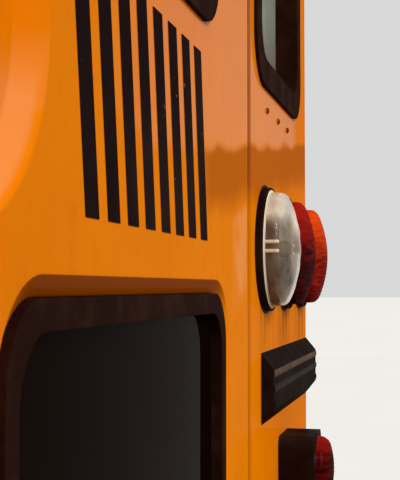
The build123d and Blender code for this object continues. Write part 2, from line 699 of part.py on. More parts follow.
arch_reach = ARCH_R + RUB_ARCH_GAP
rear_stretch_end = REAR_AXLE_X - arch_reach
front_stretch = (REAR_AXLE_X + arch_reach, CAB_X)
door_stretch = (REAR_AXLE_X + arch_reach, ENTRANCE_X[0] - 60)
left_rails = [turned_rail(COWL_X - COWL_CORNER_R - 20, RUB_END_Y, RUB_SEAT_Z)]
right_rails = [turned_rail(ENTRANCE_X[0] - 60, RUB_END_Y, RUB_SEAT_Z)]
for rails in (left_rails, right_rails):
    rails.append(turned_rail(rear_stretch_end, RUB_END_Y, RUB_FLOOR_Z))
for z in (RUB_FLOOR_Z, RUB_SKIRT_Z):
    left_rails.append(straight_rail(front_stretch, z))
    right_rails.append(straight_rail(door_stretch, z))
for rails in (left_rails, right_rails):
    rails.append(straight_rail((wall_span[0], rear_stretch_end), RUB_SKIRT_Z))
save("rub_rails", *left_rails, *[mirrored(rail) for rail in right_rails])


# Lamps
def dome(x, y, z, radius, side, rise, facing):
    """A lens with an upright side and a bulging face, backwards (facing -1) or forwards (facing 1) from x."""
    ball_r = (radius * radius + rise * rise) / (2 * rise)
    half_turn = atan2(radius, ball_r - rise) / 2
    on_arc = (side + rise - ball_r + ball_r * cos(half_turn), ball_r * sin(half_turn))
    outline = ThreePointArc((side + rise, 0), on_arc, (side, radius))
    outline += Polyline((side, radius), (0, radius), (0, 0), (side + rise, 0))
    cap = revolve(make_face(outline), Axis.X)
    if facing < 0:
        cap = Rot(0, 0, 180) * cap
    return Pos(x, y, z) * cap


housings, lenses = [], {"clear": [], "red": [], "amber": []}
for colour, y in LAMP_YS.items():
    face = REAR_X - LAMP_RING_THICK
    plate = ring(REAR_X - LAMP_RING_THICK / 2, y, LAMP_Z, LAMP_RING_R, 0, LAMP_RING_THICK, "X")
    housings += both_sides(plate)
    lenses[colour] += both_sides(dome(face, y, LAMP_Z, LAMP_LENS_R, LAMP_LENS_SIDE, LAMP_DOME, -1))

low_face = REAR_X - LOW_HOUSING_DEEP
low_housing_y = grow((LOW_LAMP_Y, LOW_LAMP_Y), LOW_HOUSING_WIDE / 2)
low_housing_z = grow((LOW_LAMP_Z, LOW_LAMP_Z), LOW_HOUSING_TALL / 2)
housings += both_sides(end_panel(low_housing_y, low_housing_z, LOW_HOUSING_CORNER_R, (low_face, REAR_X)))
low_lens = dome(low_face, LOW_LAMP_Y, LOW_LAMP_Z, LOW_LENS_R, LOW_LENS_SIDE, LOW_LENS_DOME, -1)
lenses["red"] += both_sides(low_lens)

# Warning lamps at both ends: each has a round plate and an eyebrow hood that stands off the body
header_slope = HEADER_LEAN_X / (ROOF_Z - GLASS_TOP_Z)
header_x = COWL_X - GLASS_RAKE_X - (WARNING_Z - GLASS_TOP_Z) * header_slope
for colour, y in WARNING_YS.items():
    for wall_x, facing in ((REAR_X, -1), (header_x, 1)):
        back = wall_x - facing * 20 * (facing > 0)
        front = wall_x + facing * 25
        plate = rod((back, y, WARNING_Z), (front, y, WARNING_Z), WARNING_RING_R)
        brow = rod((back, y, WARNING_Z), (wall_x + facing * HOOD_LENGTH, y, WARNING_Z), WARNING_RING_R)
        brow -= rod((back - facing * 5, y, WARNING_Z), (wall_x + facing * 99, y, WARNING_Z), WARNING_RING_R - 5)
        brow &= block(WIDE, WIDE, (WARNING_Z, FAR))
        plate = plate + brow
        if facing > 0:
            plate -= envelope(0)
        housings += both_sides(plate)
        lenses[colour] += both_sides(dome(front, y, WARNING_Z, WARNING_R, LOW_LENS_SIDE, LOW_LENS_DOME, facing))
save("lamp_housings", *housings)
save("clear_lenses", *lenses["clear"])
save("red_lenses", *lenses["red"])
save("amber_lenses", *lenses["amber"])

# Chassis frame: two channel rails with their bumper horns and tow plates, and the members between them
rail = block(RAIL_X, RAIL_Y, RAIL_Z)
rail -= block(grow(RAIL_X, 5), (RAIL_Y[0] - 5, RAIL_Y[1] - RAIL_WEB), grow(RAIL_Z, -RAIL_WEB))
cross_width = (RAIL_WEB - RAIL_Y[1], RAIL_Y[1] - RAIL_WEB)
cross_members = [block(grow((x, x), CROSS_DEPTH / 2), cross_width, CROSS_Z) for x in CROSS_XS]

HORN_Y = (400, 460)
bumper_back = NOSE_X - 50 - BUMPER_DEPTH
HORN_TOP = HOOD_PIN_Z - 20
horn = block((RAIL_X[1] - 60, bumper_back), HORN_Y, (RAIL_Z[0], BUMPER_Z[1]))
horn += block((RAIL_X[1] - 60, HOOD_PIN_X + 22), HORN_Y, (BUMPER_Z[1] + 5, HORN_TOP))
horn += block((RAIL_X[1] - 60, bumper_back - 4), HORN_Y, (BUMPER_Z[1] - 5, HORN_TOP))
for lug_y in ((HORN_Y[0], HORN_Y[0] + LUG_THICK), (HORN_Y[1] - LUG_THICK, HORN_Y[1])):
    horn += block((HOOD_PIN_X - 14, HOOD_PIN_X + 14), lug_y, (HORN_TOP, HOOD_PIN_Z + 12))
horn += rod((HOOD_PIN_X, HORN_Y[0], HOOD_PIN_Z), (HOOD_PIN_X, HORN_Y[1], HOOD_PIN_Z), HOOD_PIN_R)

REAR_BUMPER_Z = (TYRE_R - 30, TYRE_R + 220)
bracket_x = (TAIL_X + BUMPER_WALL, RAIL_X[0] + 60)
bracket = block(bracket_x, TOW_Y, (RAIL_Z[0] - 110, RAIL_Z[0] - 6))
bracket += block((RAIL_X[0], RAIL_X[0] + 60), TOW_Y, (RAIL_Z[0] - 110, RAIL_Z[0]))
bracket += block((REAR_X, RAIL_X[0] + 60), TOW_Y, (TOW_Z - 45, RAIL_Z[0] - 60))
bracket -= rod((REAR_X + 60, 0, TOW_Z), (REAR_X + 60, HALF, TOW_Z), TOW_R)


# Leaf springs: a stack of leaves under each rail, hung from it at both ends
def spring(axle_x, y, top_z, seat_z):
    """A stack of four leaves over an axle, with a hanger at each end up to the rail."""
    pieces = []
    thick = 14
    for number, reach in enumerate((700, 560, 420, 280)):
        z = top_z - number * thick
        pieces.append(block((axle_x - reach, axle_x + reach), y, (z - thick, z)))
    pieces.append(block((axle_x - 90, axle_x + 90), y, (seat_z, top_z - 3 * thick)))
    for end_x in (axle_x - 680, axle_x + 680):
        pieces.append(block((end_x - 20, end_x + 20), y, (top_z - 2, RAIL_Z[0])))
    return fused(pieces)


BEAM_TOP = TYRE_R - 55
TUBE_R_REAR = 62
SPRING_Y = (RAIL_Y[0] + 5, RAIL_Y[1] - 5)
SPRING_TOP = RAIL_Z[0] - 36
front_spring = spring(FRONT_AXLE_X, SPRING_Y, SPRING_TOP, BEAM_TOP)
rear_spring = spring(REAR_AXLE_X, SPRING_Y, SPRING_TOP, TYRE_R + TUBE_R_REAR)
save("leaf_springs", *both_sides(front_spring, rear_spring))
save("frame_rails", *both_sides(fused([rail, horn, bracket])))
save("cross_members", *cross_members)

# Front axle: a dropped beam with an eye at each end for the kingpin
KINGPIN_Y = 860
KINGPIN_R = 20
EYE_R = 44
EYE_Z = (TYRE_R - 55, TYRE_R + 55)
LUG_Z = (TYRE_R - 110, TYRE_R + 110)
BEAM_HALF = 45
BEAM_LOW = BEAM_TOP - 110
beam_x = (FRONT_AXLE_X - BEAM_HALF, FRONT_AXLE_X + BEAM_HALF)
DROP_Y = 600
front_axle = block(beam_x, (-DROP_Y, DROP_Y), (BEAM_LOW, BEAM_TOP))
for side in (-1, 1):
    slope = [
        (side * (DROP_Y - 60), BEAM_LOW),
        (side * (DROP_Y - 60), BEAM_TOP),
        (side * (KINGPIN_Y - 100), EYE_Z[1]),
        (side * KINGPIN_Y, EYE_Z[1]),
        (side * KINGPIN_Y, EYE_Z[0]),
        (side * (KINGPIN_Y - 90), EYE_Z[0]),
    ]
    arm = extrude(Plane.YZ * make_face(Polyline(*slope, close=True)), amount=BEAM_HALF, both=True)
    front_axle += Pos(FRONT_AXLE_X, 0, 0) * arm
    eye = (FRONT_AXLE_X, side * KINGPIN_Y)
    front_axle += rod((*eye, EYE_Z[0]), (*eye, EYE_Z[1]), EYE_R)
for side in (-1, 1):
    eye = (FRONT_AXLE_X, side * KINGPIN_Y)
    front_axle -= rod((*eye, EYE_Z[0] - 5), (*eye, EYE_Z[1] + 5), KINGPIN_R + SEAT_GAP)
    front_axle -= rod((*eye, EYE_Z[1]), (*eye, EYE_Z[1] + 60), EYE_R + 20)
save("front_axle", front_axle)

# Steering knuckle: a fork on the kingpin, a spindle and a brake back plate
BACKPLATE_R = 200
BACKPLATE_Y = (948, 958)
UPRIGHT_Y = (KINGPIN_Y + EYE_R + 8, BACKPLATE_Y[0])
fork_x = (FRONT_AXLE_X - 38, FRONT_AXLE_X + 38)
knuckle = block(fork_x, UPRIGHT_Y, LUG_Z)
for lug in ((LUG_Z[0], EYE_Z[0] - 5), (EYE_Z[1] + 5, LUG_Z[1])):
    knuckle += block(fork_x, (KINGPIN_Y, UPRIGHT_Y[0]), lug)
    knuckle += rod((FRONT_AXLE_X, KINGPIN_Y, lug[0]), (FRONT_AXLE_X, KINGPIN_Y, lug[1]), 38)
knuckle += rod((FRONT_AXLE_X, KINGPIN_Y, LUG_Z[0]), (FRONT_AXLE_X, KINGPIN_Y, LUG_Z[1]), KINGPIN_R)
knuckle += rod((FRONT_AXLE_X, BACKPLATE_Y[0], TYRE_R), (FRONT_AXLE_X, BACKPLATE_Y[1], TYRE_R), BACKPLATE_R)
SPINDLE_END = FRONT_WHEEL_Y + 20
knuckle += rod((FRONT_AXLE_X, BACKPLATE_Y[0], TYRE_R), (FRONT_AXLE_X, SPINDLE_END, TYRE_R), SPINDLE_R)
save("front_left_knuckle", knuckle)
save("front_right_knuckle", mirrored(knuckle))

# Rear axle: a tube with a round differential case and a spindle at each end
REAR_BACKPLATE_Y = (578, 590)
REAR_SPINDLE_END = 930
tube_end = REAR_BACKPLATE_Y[1]
rear_axle = rod((REAR_AXLE_X, -tube_end, TYRE_R), (REAR_AXLE_X, tube_end, TYRE_R), TUBE_R_REAR)
rear_axle += Pos(REAR_AXLE_X, 0, TYRE_R) * Sphere(185)
for side in (-1, 1):
    plate_y = [side * y for y in REAR_BACKPLATE_Y]
    rear_axle += rod((REAR_AXLE_X, plate_y[0], TYRE_R), (REAR_AXLE_X, plate_y[1], TYRE_R), BACKPLATE_R)
    rear_axle += rod((REAR_AXLE_X, 0, TYRE_R), (REAR_AXLE_X, side * REAR_SPINDLE_END, TYRE_R), REAR_SPINDLE_R)
PINION_X = REAR_AXLE_X + 170
rear_axle += rod((REAR_AXLE_X, 0, TYRE_R + 40), (PINION_X + 80, 0, TYRE_R + 40), 70)
save("rear_axle", rear_axle)

# Wheels. Each is drawn on the left and mirrored.
front_hub_y = (BACKPLATE_Y[1] + 6, FRONT_WHEEL_Y + 60)
front_rim = ring(FRONT_AXLE_X, FRONT_WHEEL_Y, TYRE_R, RIM_R, RIM_R - RIM_WALL, RIM_WIDTH, "Y")
front_rim += rod(
    (FRONT_AXLE_X, FRONT_WHEEL_Y + 40, TYRE_R),
    (FRONT_AXLE_X, FRONT_WHEEL_Y + 40 + DISC_THICK, TYRE_R),
    RIM_R - RIM_WALL / 2,
)
front_rim += rod((FRONT_AXLE_X, front_hub_y[0], TYRE_R), (FRONT_AXLE_X, front_hub_y[1], TYRE_R), HUB_R)
front_rim -= rod(
    (FRONT_AXLE_X, front_hub_y[0] - 5, TYRE_R),
    (FRONT_AXLE_X, SPINDLE_END + 5, TYRE_R),
    SPINDLE_R + SEAT_GAP,
)


def tyre(x, y):
    """A tyre: an upright band with rounded shoulders, turned about its axle."""
    face = RectangleRounded(TYRE_WIDTH, TYRE_R - RIM_R - SEAT_GAP, TYRE_SHOULDER_R)
    middle_r = (TYRE_R + RIM_R + SEAT_GAP) / 2
    band = revolve(Pos(0, middle_r) * face, Axis.X)
    return Pos(x, y, TYRE_R) * Rot(0, 0, 90) * band


rim_span = (REAR_TYRE_YS[0] - RIM_WIDTH / 2, REAR_TYRE_YS[1] + RIM_WIDTH / 2)
rear_rims = ring(REAR_AXLE_X, sum(rim_span) / 2, TYRE_R, RIM_R, RIM_R - RIM_WALL, rim_span[1] - rim_span[0], "Y")
disc_y = sum(REAR_TYRE_YS) / 2
rear_rims += rod(
    (REAR_AXLE_X, disc_y, TYRE_R), (REAR_AXLE_X, disc_y + 2 * DISC_THICK, TYRE_R), RIM_R - RIM_WALL / 2
)
rear_hub_y = (REAR_BACKPLATE_Y[1] + 10, REAR_SPINDLE_END + 40)
rear_rims += rod((REAR_AXLE_X, rear_hub_y[0], TYRE_R), (REAR_AXLE_X, rear_hub_y[1], TYRE_R), HUB_R)
rear_rims -= rod(
    (REAR_AXLE_X, rear_hub_y[0] - 5, TYRE_R),
    (REAR_AXLE_X, REAR_SPINDLE_END + 5, TYRE_R),
    REAR_SPINDLE_R + SEAT_GAP,
)
rear_tyres = [tyre(REAR_AXLE_X, y) for y in REAR_TYRE_YS]
front_tyre = tyre(FRONT_AXLE_X, FRONT_WHEEL_Y)
save("front_left_rim", front_rim)
save("front_right_rim", mirrored(front_rim))
save("front_left_tyre", front_tyre)
save("front_right_tyre", mirrored(front_tyre))
save("rear_left_rims", rear_rims)
save("rear_right_rims", mirrored(rear_rims))
save("rear_left_tyres", *rear_tyres)
save("rear_right_tyres", *[mirrored(piece) for piece in rear_tyres])

FLAP_Y = (HOUSE_Y[0], HALF - 60)
FLAP_LOW = 260
flap_x = (HOUSE_X[0] - 60, HOUSE_X[0] - 48)
save("mud_flaps", *both_sides(block(flap_x, FLAP_Y, (FLAP_LOW, FLOOR_LOW))))

# Engine with its gearbox, radiator, drive shaft, fuel tank and exhaust
ENGINE_X = (COWL_X + 80, FRONT_AXLE_X + 480)
ENGINE_HALF = 330
ENGINE_Z = (RAIL_Z[0] - 86, 1420)
MOUNT_Z = (RAIL_Z[0] + 60, RAIL_Z[0] + 120)
GEARBOX_X = (COWL_X - 640, ENGINE_X[0])
SHAFT_Z = TYRE_R + 40
engine = block(ENGINE_X, (-ENGINE_HALF, ENGINE_HALF), ENGINE_Z)
engine += block(GEARBOX_X, (-200, 200), (SHAFT_Z - 110, FLOOR_LOW - 60))
mount_x = (sum(ENGINE_X) / 2 - 60, sum(ENGINE_X) / 2 + 60)
engine += block(mount_x, (RAIL_WEB - RAIL_Y[1], RAIL_Y[1] - RAIL_WEB), MOUNT_Z)
save("engine_block", engine)
SHAFT_R = 45
save("drive_shaft", rod((GEARBOX_X[0], 0, SHAFT_Z), (PINION_X + 80, 0, SHAFT_Z), SHAFT_R))
RADIATOR_X = (RAIL_X[1] - 60 - 35, RAIL_X[1] - 60 + 35)
save("radiator", block(RADIATOR_X, (-380, 380), (CROSS_Z[1], 1330)))

TANK_X = (REAR_AXLE_X + 1500, REAR_AXLE_X + 2800)
TANK_Y = (570, 1130)
TANK_Z = (RAIL_Z[0] - 186, RAIL_Z[1] - 80)
tank = block(TANK_X, TANK_Y, TANK_Z)
tank = fillet(tank.edges().filter_by(Axis.X), 60)
for x in (TANK_X[0] + 200, TANK_X[1] - 200):
    tank += block((x - 40, x + 40), (RAIL_Y[1], TANK_Y[0] + 70), (RAIL_Z[0] + 20, TANK_Z[1] - 30))
save("fuel_tank", mirrored(tank))
BATTERY_X = (REAR_AXLE_X + 1500, REAR_AXLE_X + 2200)
battery = block(BATTERY_X, TANK_Y, TANK_Z)
battery += block(grow(BATTERY_X, -200), (RAIL_Y[1], TANK_Y[0] + 5), (RAIL_Z[0] + 20, TANK_Z[1] - 30))
save("battery_box", battery)

PIPE_R = 45
PIPE_Y = -290
PIPE_Z = RAIL_Z[0] + 20
MUFFLER_R = 90
HANGER_HALF = 12
pipe_route = [
    (GEARBOX_X[0] + 60, PIPE_Y, PIPE_Z),
    (REAR_AXLE_X - 1700, PIPE_Y, PIPE_Z),
    (REAR_AXLE_X - 2300, PIPE_Y, 400),
    (TAIL_X + 20, PIPE_Y, 400),
]
route = FilletPolyline(*pipe_route, radius=200)
exhaust = sweep(Plane(pipe_route[0], z_dir=(-1, 0, 0)) * Circle(PIPE_R), path=route)
muffler_x = (REAR_AXLE_X + 1200, REAR_AXLE_X + 2300)
muffler_z = PIPE_Z - 40
exhaust += rod((muffler_x[0], PIPE_Y, muffler_z), (muffler_x[1], PIPE_Y, muffler_z), MUFFLER_R)
for x in CROSS_XS[1:4]:
    exhaust += block(grow((x, x), HANGER_HALF), grow((PIPE_Y, PIPE_Y), HANGER_HALF), (PIPE_Z, CROSS_Z[0]))
save("exhaust", exhaust)

# Bumpers: open channels
BUMPER_END_R = 90


def channel(back_x, front_x, half, z, facing):
    """A bumper channel whose closed face looks backwards (-1) or forwards (1)."""
    plan = Pos((back_x + front_x) / 2, 0) * Rectangle(front_x - back_x, 2 * half)
    ends = plan.vertices().sort_by(Axis.X)
    plan = fillet(ends[-2:] if facing > 0 else ends[:2], BUMPER_END_R)
    solid = Pos(0, 0, z[0]) * extrude(plan, amount=z[1] - z[0])
    shift = -facing * BUMPER_WALL
    hollow = Pos(shift, 0, z[0] + BUMPER_WALL) * extrude(plan, amount=z[1] - z[0] - 2 * BUMPER_WALL)
    return solid - hollow


front_face = NOSE_X - 50
front_bumper = channel(bumper_back, front_face, BUMPER_HALF, BUMPER_Z, 1)
crossing_x = NOSE_X - TUBE_R - 2
for lug_z in ((CROSSING_Z[0], CROSSING_Z[0] + LUG_THICK), (CROSSING_Z[1] - LUG_THICK, CROSSING_Z[1])):
    front_bumper += block((front_face, NOSE_X), (CROSSING_Y - TUBE_R, CROSSING_Y + TUBE_R), lug_z)
front_bumper += rod((crossing_x, CROSSING_Y, CROSSING_Z[0]), (crossing_x, CROSSING_Y, CROSSING_Z[1]), PIN_R)
rear_bumper = channel(TAIL_X, REAR_X - 4, BUMPER_HALF, REAR_BUMPER_Z, -1)
save("bumpers", front_bumper, rear_bumper)

arm_z = grow(CROSSING_Z, -LUG_THICK - 5)
arm_mid = sum(CROSSING_Z) / 2
crossing = rod((crossing_x, CROSSING_Y, arm_z[0]), (crossing_x, CROSSING_Y, arm_z[1]), TUBE_R)
crossing += rod((crossing_x, CROSSING_Y, arm_mid), (crossing_x, CROSSING_Y + CROSSING_LENGTH, arm_mid), CROSSING_ROD_R)
crossing -= rod((crossing_x, CROSSING_Y, arm_z[0] - 5), (crossing_x, CROSSING_Y, arm_z[1] + 5), PIN_R + SEAT_GAP)
save("crossing_arm", crossing)

# Stop arm on the left side: an eight-sided blade on a tube that turns on an upright pin
stop_y = HALF + STOP_OUT
stop_bracket = rod((STOP_X, stop_y, STOP_ARM_Z[0]), (STOP_X, stop_y, STOP_ARM_Z[1]), PIN_R)
for lug_z in ((STOP_ARM_Z[0], STOP_ARM_Z[0] + LUG_THICK), (STOP_ARM_Z[1] - LUG_THICK, STOP_ARM_Z[1])):
    stop_bracket += block((STOP_X - TUBE_R, STOP_X + TUBE_R), (HALF, stop_y + TUBE_R), lug_z)
save("left_side_wall", left_wall + stop_bracket)
tube_z = grow(STOP_ARM_Z, -LUG_THICK - 5)
blade_x = STOP_X - 70 - STOP_BLADE / 2
octagon = RegularPolygon(STOP_BLADE / 2 / cos(radians(22.5)), 8, rotation=22.5)
blade_y = stop_y + TUBE_R - STOP_BLADE_THICK
blade = Pos(blade_x, blade_y + STOP_BLADE_THICK, STOP_Z) * extrude(Plane.XZ * octagon, amount=STOP_BLADE_THICK)
stop_arm = blade + rod((STOP_X, stop_y, tube_z[0]), (STOP_X, stop_y, tube_z[1]), TUBE_R)
for z in (STOP_Z - 90, STOP_Z + 90):
    stop_arm += block((blade_x, STOP_X), (blade_y - 6, blade_y + 2), (z - 20, z + 20))
stop_arm -= rod((STOP_X, stop_y, tube_z[0] - 5), (STOP_X, stop_y, tube_z[1] + 5), PIN_R + SEAT_GAP)
save("stop_arm", stop_arm)


# Hood: a narrowing nose crossed by full-width fenders, hollow below
def nose_section(share, inset):
    """The nose's section at a share of the way from the cowl to the grille."""
    x = HOOD_X[0] + share * (HOOD_X[1] - HOOD_X[0])
    half = NOSE_HALF[0] + share * (NOSE_HALF[1] - NOSE_HALF[0]) - inset
    top = NOSE_TOP[0] + share * (NOSE_TOP[1] - NOSE_TOP[0]) - inset
    low = HOOD_Z - 20 * (inset > 0)
    face = Pos(0, (top + low) / 2) * Rectangle(2 * half, top - low)
    face = fillet(face.vertices().group_by(Axis.Y)[-1], NOSE_R - inset)
    return Pos(x, 0, 0) * (Plane.YZ * face)


def fenders(inset, low):
    """The full-width part of the hood, drawn in by inset."""
    x = (HOOD_X[0] - 20 * (inset > 0), HOOD_X[1] - inset)
    top = FENDER_Z - inset
    side = Plane.XZ * (Pos(sum(x) / 2, (top + low) / 2) * Rectangle(x[1] - x[0], top - low))
    nose_corner = side.vertices().sort_by(lambda v: v.X + v.Z)[-1]
    side = fillet(nose_corner, FENDER_NOSE_R - inset)
    plan = Pos(sum(x) / 2, 0) * Rectangle(x[1] - x[0], 2 * (FENDER_HALF - inset))
    plan = fillet(plan.vertices().group_by(Axis.X)[-1], FENDER_CORNER_R - inset)
    shape = extrude(side, amount=2 * FENDER_HALF, both=True)
    return shape & extrude(plan, amount=2 * FENDER_Z, both=True)


front_share = 1 - HOOD_WALL / (HOOD_X[1] - HOOD_X[0])
hood = loft([nose_section(0, 0), nose_section(1, 0)]) + fenders(0, HOOD_Z)
hood -= loft([nose_section(-0.02, HOOD_WALL), nose_section(front_share, HOOD_WALL)])
hood -= fenders(HOOD_WALL, HOOD_Z - 20)
hood -= wheel_arches
grille_hole = block((HOOD_X[1] - 60, FAR), (-GRILLE_HALF, GRILLE_HALF), GRILLE_Z)
hood -= grille_hole
headlamps = []
for side in (-1, 1):
    lamp_back = (HOOD_X[1] - HEADLAMP_DEPTH, side * HEADLAMP_Y, HEADLAMP_Z)
    lamp_face = (HOOD_X[1] + 6, side * HEADLAMP_Y, HEADLAMP_Z)
    headlamps.append(rod(lamp_back, lamp_face, HEADLAMP_R))
    hood -= rod(lamp_back, lamp_face, HEADLAMP_R + SEAT_GAP)
EAR_Y = (420, 440)
for side in (-1, 1):
    ear_y = sorted((side * EAR_Y[0], side * EAR_Y[1]))
    hood += block((HOOD_X[1] - HOOD_WALL, HOOD_PIN_X + 14), ear_y, (HOOD_PIN_Z - 12, HOOD_PIN_Z + 20))
    hood -= rod((HOOD_PIN_X, ear_y[0] - 5, HOOD_PIN_Z), (HOOD_PIN_X, ear_y[1] + 5, HOOD_PIN_Z), HOOD_PIN_R + SEAT_GAP)
save("hood", hood)
save("headlamps", *headlamps)

grille_x = (HOOD_X[1] - GRILLE_DEPTH / 2, HOOD_X[1] + GRILLE_DEPTH / 2)
grille = block(grille_x, grow((-GRILLE_HALF, GRILLE_HALF), -SEAT_GAP), grow(GRILLE_Z, -SEAT_GAP))
grille -= block(grow(grille_x, 5), grow((-GRILLE_HALF, GRILLE_HALF), -FRAME_FACE), grow(GRILLE_Z, -FRAME_FACE))
bar_step = (GRILLE_Z[1] - GRILLE_Z[0]) / (GRILLE_BARS + 1)
for number in range(GRILLE_BARS):
    z = GRILLE_Z[0] + (number + 1) * bar_step
    grille += block(
        grow(grille_x, -5),
        grow((-GRILLE_HALF, GRILLE_HALF), -FRAME_FACE / 2),
        (z - GRILLE_BAR / 2, z + GRILLE_BAR / 2),
    )
save("grille", grille)

# Mirrors: round ones on stalks from the fenders, and flat ones on arms from the cab
MIRROR_BALL_R = 100
ball_at = (HOOD_X[1] - 130, 1080, 1600)
stalk_from = (HOOD_X[1] - 330, 1000, FENDER_Z)
stalk_knee = (stalk_from[0], stalk_from[1], FENDER_Z + 60)
crossview = Pos(*ball_at) * Sphere(MIRROR_BALL_R) + rod(stalk_knee, ball_at, 12)
crossview += rod(stalk_from, stalk_knee, 12) + Pos(*stalk_knee) * Sphere(12)
save("hood_mirrors", *both_sides(crossview))

MIRROR_X = (COWL_X - 100, COWL_X - 40)
MIRROR_Y = (HALF + 80, HALF + 270)
MIRROR_TUBE_Y = sum(MIRROR_Y) / 2
MIRROR_ARM_R = 14
arm_x = sum(MIRROR_X) / 2
mirror_set = block(MIRROR_X, MIRROR_Y, (1730, 2130)) + block(MIRROR_X, MIRROR_Y, (1530, 1700))
mirror_set += rod((arm_x, MIRROR_TUBE_Y, 1600), (arm_x, MIRROR_TUBE_Y, 2100), MIRROR_ARM_R)
for z in (1580, 1715):
    mirror_set += rod((arm_x - 60, HALF - 20, z), (arm_x, MIRROR_TUBE_Y, z), MIRROR_ARM_R)
mirror_set -= envelope(0)
save("side_mirrors", *both_sides(mirror_set))


# Seats
def bench(back_x, y):
    """A bench seat's padded part: a flat cushion and a leaning back. back_x is the back's foot."""
    low, high = SEAT_CUSHION_Z
    outline = [
        (back_x, low),
        (back_x + SEAT_DEPTH + SEAT_BACK_THICK, low),
        (back_x + SEAT_DEPTH + SEAT_BACK_THICK, high),
        (back_x + SEAT_BACK_THICK, high),
        (back_x + SEAT_BACK_THICK - SEAT_LEAN, SEAT_BACK_TOP),
        (back_x - SEAT_LEAN, SEAT_BACK_TOP),
    ]
    face = Plane.XZ * make_face(Polyline(*outline, close=True))
    return Pos(0, y[1], 0) * extrude(face, amount=y[1] - y[0])


def seat_legs(back_x, y):
    """The steel part under a bench: a leg frame by the aisle and a rail to the wall."""
    low = SEAT_CUSHION_Z[0]
    x = (back_x + 60, back_x + SEAT_DEPTH)
    top_rail = block(x, (y[0] + 40, INNER), (low - SEAT_LEG, low))
    pieces = [top_rail]
    for leg_x in ((x[0], x[0] + SEAT_LEG), (x[1] - SEAT_LEG, x[1])):
        pieces.append(block(leg_x, (y[0] + 60, y[0] + 60 + SEAT_LEG), (FLOOR_Z, low - SEAT_LEG + 2)))
    return fused(pieces)


seat_run = ENTRANCE_X[0] - REAR_IN_X - 350
SEAT_COUNT = int(seat_run // SEAT_PITCH)
bench_y = (AISLE_HALF, AISLE_HALF + SEAT_WIDTH)
benches, legs = [], []
for number in range(SEAT_COUNT):
    back_x = REAR_IN_X + 330 + number * SEAT_PITCH
    benches.append(bench(back_x, bench_y))
    legs.append(seat_legs(back_x, bench_y))
save("left_seats", *benches)
save("right_seats", *[mirrored(piece) for piece in benches])
save("seat_frames", *both_sides(*legs))

DRIVER_Y = (420, 940)
driver_back_x = CAB_X - 790
driver_seat = bench(driver_back_x, DRIVER_Y)
driver_seat += block((driver_back_x + 120, driver_back_x + 380), (560, 800), (FLOOR_Z, SEAT_CUSHION_Z[0] + 5))
save("driver_seat", driver_seat)

DASH_Z = (FLOOR_Z + 330, FLOOR_Z + 640)
dash_x = (COWL_X - WALL - 320, COWL_X - WALL)
wheel_tilt = Vector(-1, 0, 1.2).normalized()
column_top = Vector(dash_x[0] - 90, sum(DRIVER_Y) / 2, DASH_Z[1])
column_foot = column_top - wheel_tilt * 330
dashboard = block(dash_x, (grow((-INNER, INNER), -60)), DASH_Z)
dashboard += block((dash_x[1] - 60, dash_x[1]), grow((-INNER, INNER), -60), (FLOOR_Z, DASH_Z[0] + 5))
dashboard -= block((0, dash_x[1] - 150), (-FAR, STEP_Y[2] + 60), (0, FAR))
dashboard += rod(tuple(column_foot), tuple(column_top), 32)
dashboard += rod(tuple(column_top), tuple(column_top + wheel_tilt * 30), 12)
dashboard &= extrude(body_plan(WALL + SEAT_GAP), amount=ROOF_Z)
save("dashboard", dashboard)

STEERING_R = 225
STEERING_ROD_R = 15
hub = column_top + wheel_tilt * 5
steering_plane = Plane(tuple(hub + wheel_tilt * 14), z_dir=tuple(wheel_tilt))
steering = steering_plane * Torus(STEERING_R, STEERING_ROD_R)
steering += steering_plane * Cylinder(40, 28)
for turn in (90, 210, 330):
    steering += steering_plane * (Rot(0, 0, turn) * Pos(STEERING_R / 2, 0, 0) * Box(STEERING_R, 28, 12))
steering -= rod(tuple(column_top - wheel_tilt * 5), tuple(column_top + wheel_tilt * 60), 12 + SEAT_GAP)
save("steering_wheel", steering)
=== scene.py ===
"""Finishes, trim, light and camera for the school bus, in metres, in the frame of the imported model.

+X is forwards, +Y is the bus's left, +Z is up, and the ground is z = 0.
"""
import json
from functools import reduce
from math import ceil, cos, hypot, pi, radians, sin, tanh

import bmesh
import bpy
from mathutils import Matrix, Vector
from mathutils.bvhtree import BVHTree


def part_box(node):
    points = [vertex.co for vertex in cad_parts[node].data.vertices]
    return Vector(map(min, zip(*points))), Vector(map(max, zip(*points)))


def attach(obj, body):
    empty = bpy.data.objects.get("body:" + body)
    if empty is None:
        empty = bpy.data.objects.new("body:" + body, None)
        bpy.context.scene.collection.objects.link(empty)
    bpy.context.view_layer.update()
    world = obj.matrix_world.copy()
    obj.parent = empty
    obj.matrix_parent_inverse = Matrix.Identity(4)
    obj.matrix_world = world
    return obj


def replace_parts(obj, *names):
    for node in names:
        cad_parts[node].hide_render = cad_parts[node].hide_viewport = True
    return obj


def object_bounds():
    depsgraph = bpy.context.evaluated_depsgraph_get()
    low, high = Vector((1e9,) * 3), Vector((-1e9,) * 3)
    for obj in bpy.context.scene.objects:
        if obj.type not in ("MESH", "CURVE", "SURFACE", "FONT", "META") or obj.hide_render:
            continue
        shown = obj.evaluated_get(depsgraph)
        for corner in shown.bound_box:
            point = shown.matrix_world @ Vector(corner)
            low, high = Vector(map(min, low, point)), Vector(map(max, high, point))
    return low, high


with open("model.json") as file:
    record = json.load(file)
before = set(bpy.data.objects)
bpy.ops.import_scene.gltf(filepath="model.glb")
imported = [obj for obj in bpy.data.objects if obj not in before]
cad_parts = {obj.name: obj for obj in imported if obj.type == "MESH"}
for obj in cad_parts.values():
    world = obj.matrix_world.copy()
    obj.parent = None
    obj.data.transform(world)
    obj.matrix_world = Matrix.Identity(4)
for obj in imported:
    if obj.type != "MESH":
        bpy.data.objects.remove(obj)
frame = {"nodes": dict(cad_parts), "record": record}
cad_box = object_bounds()

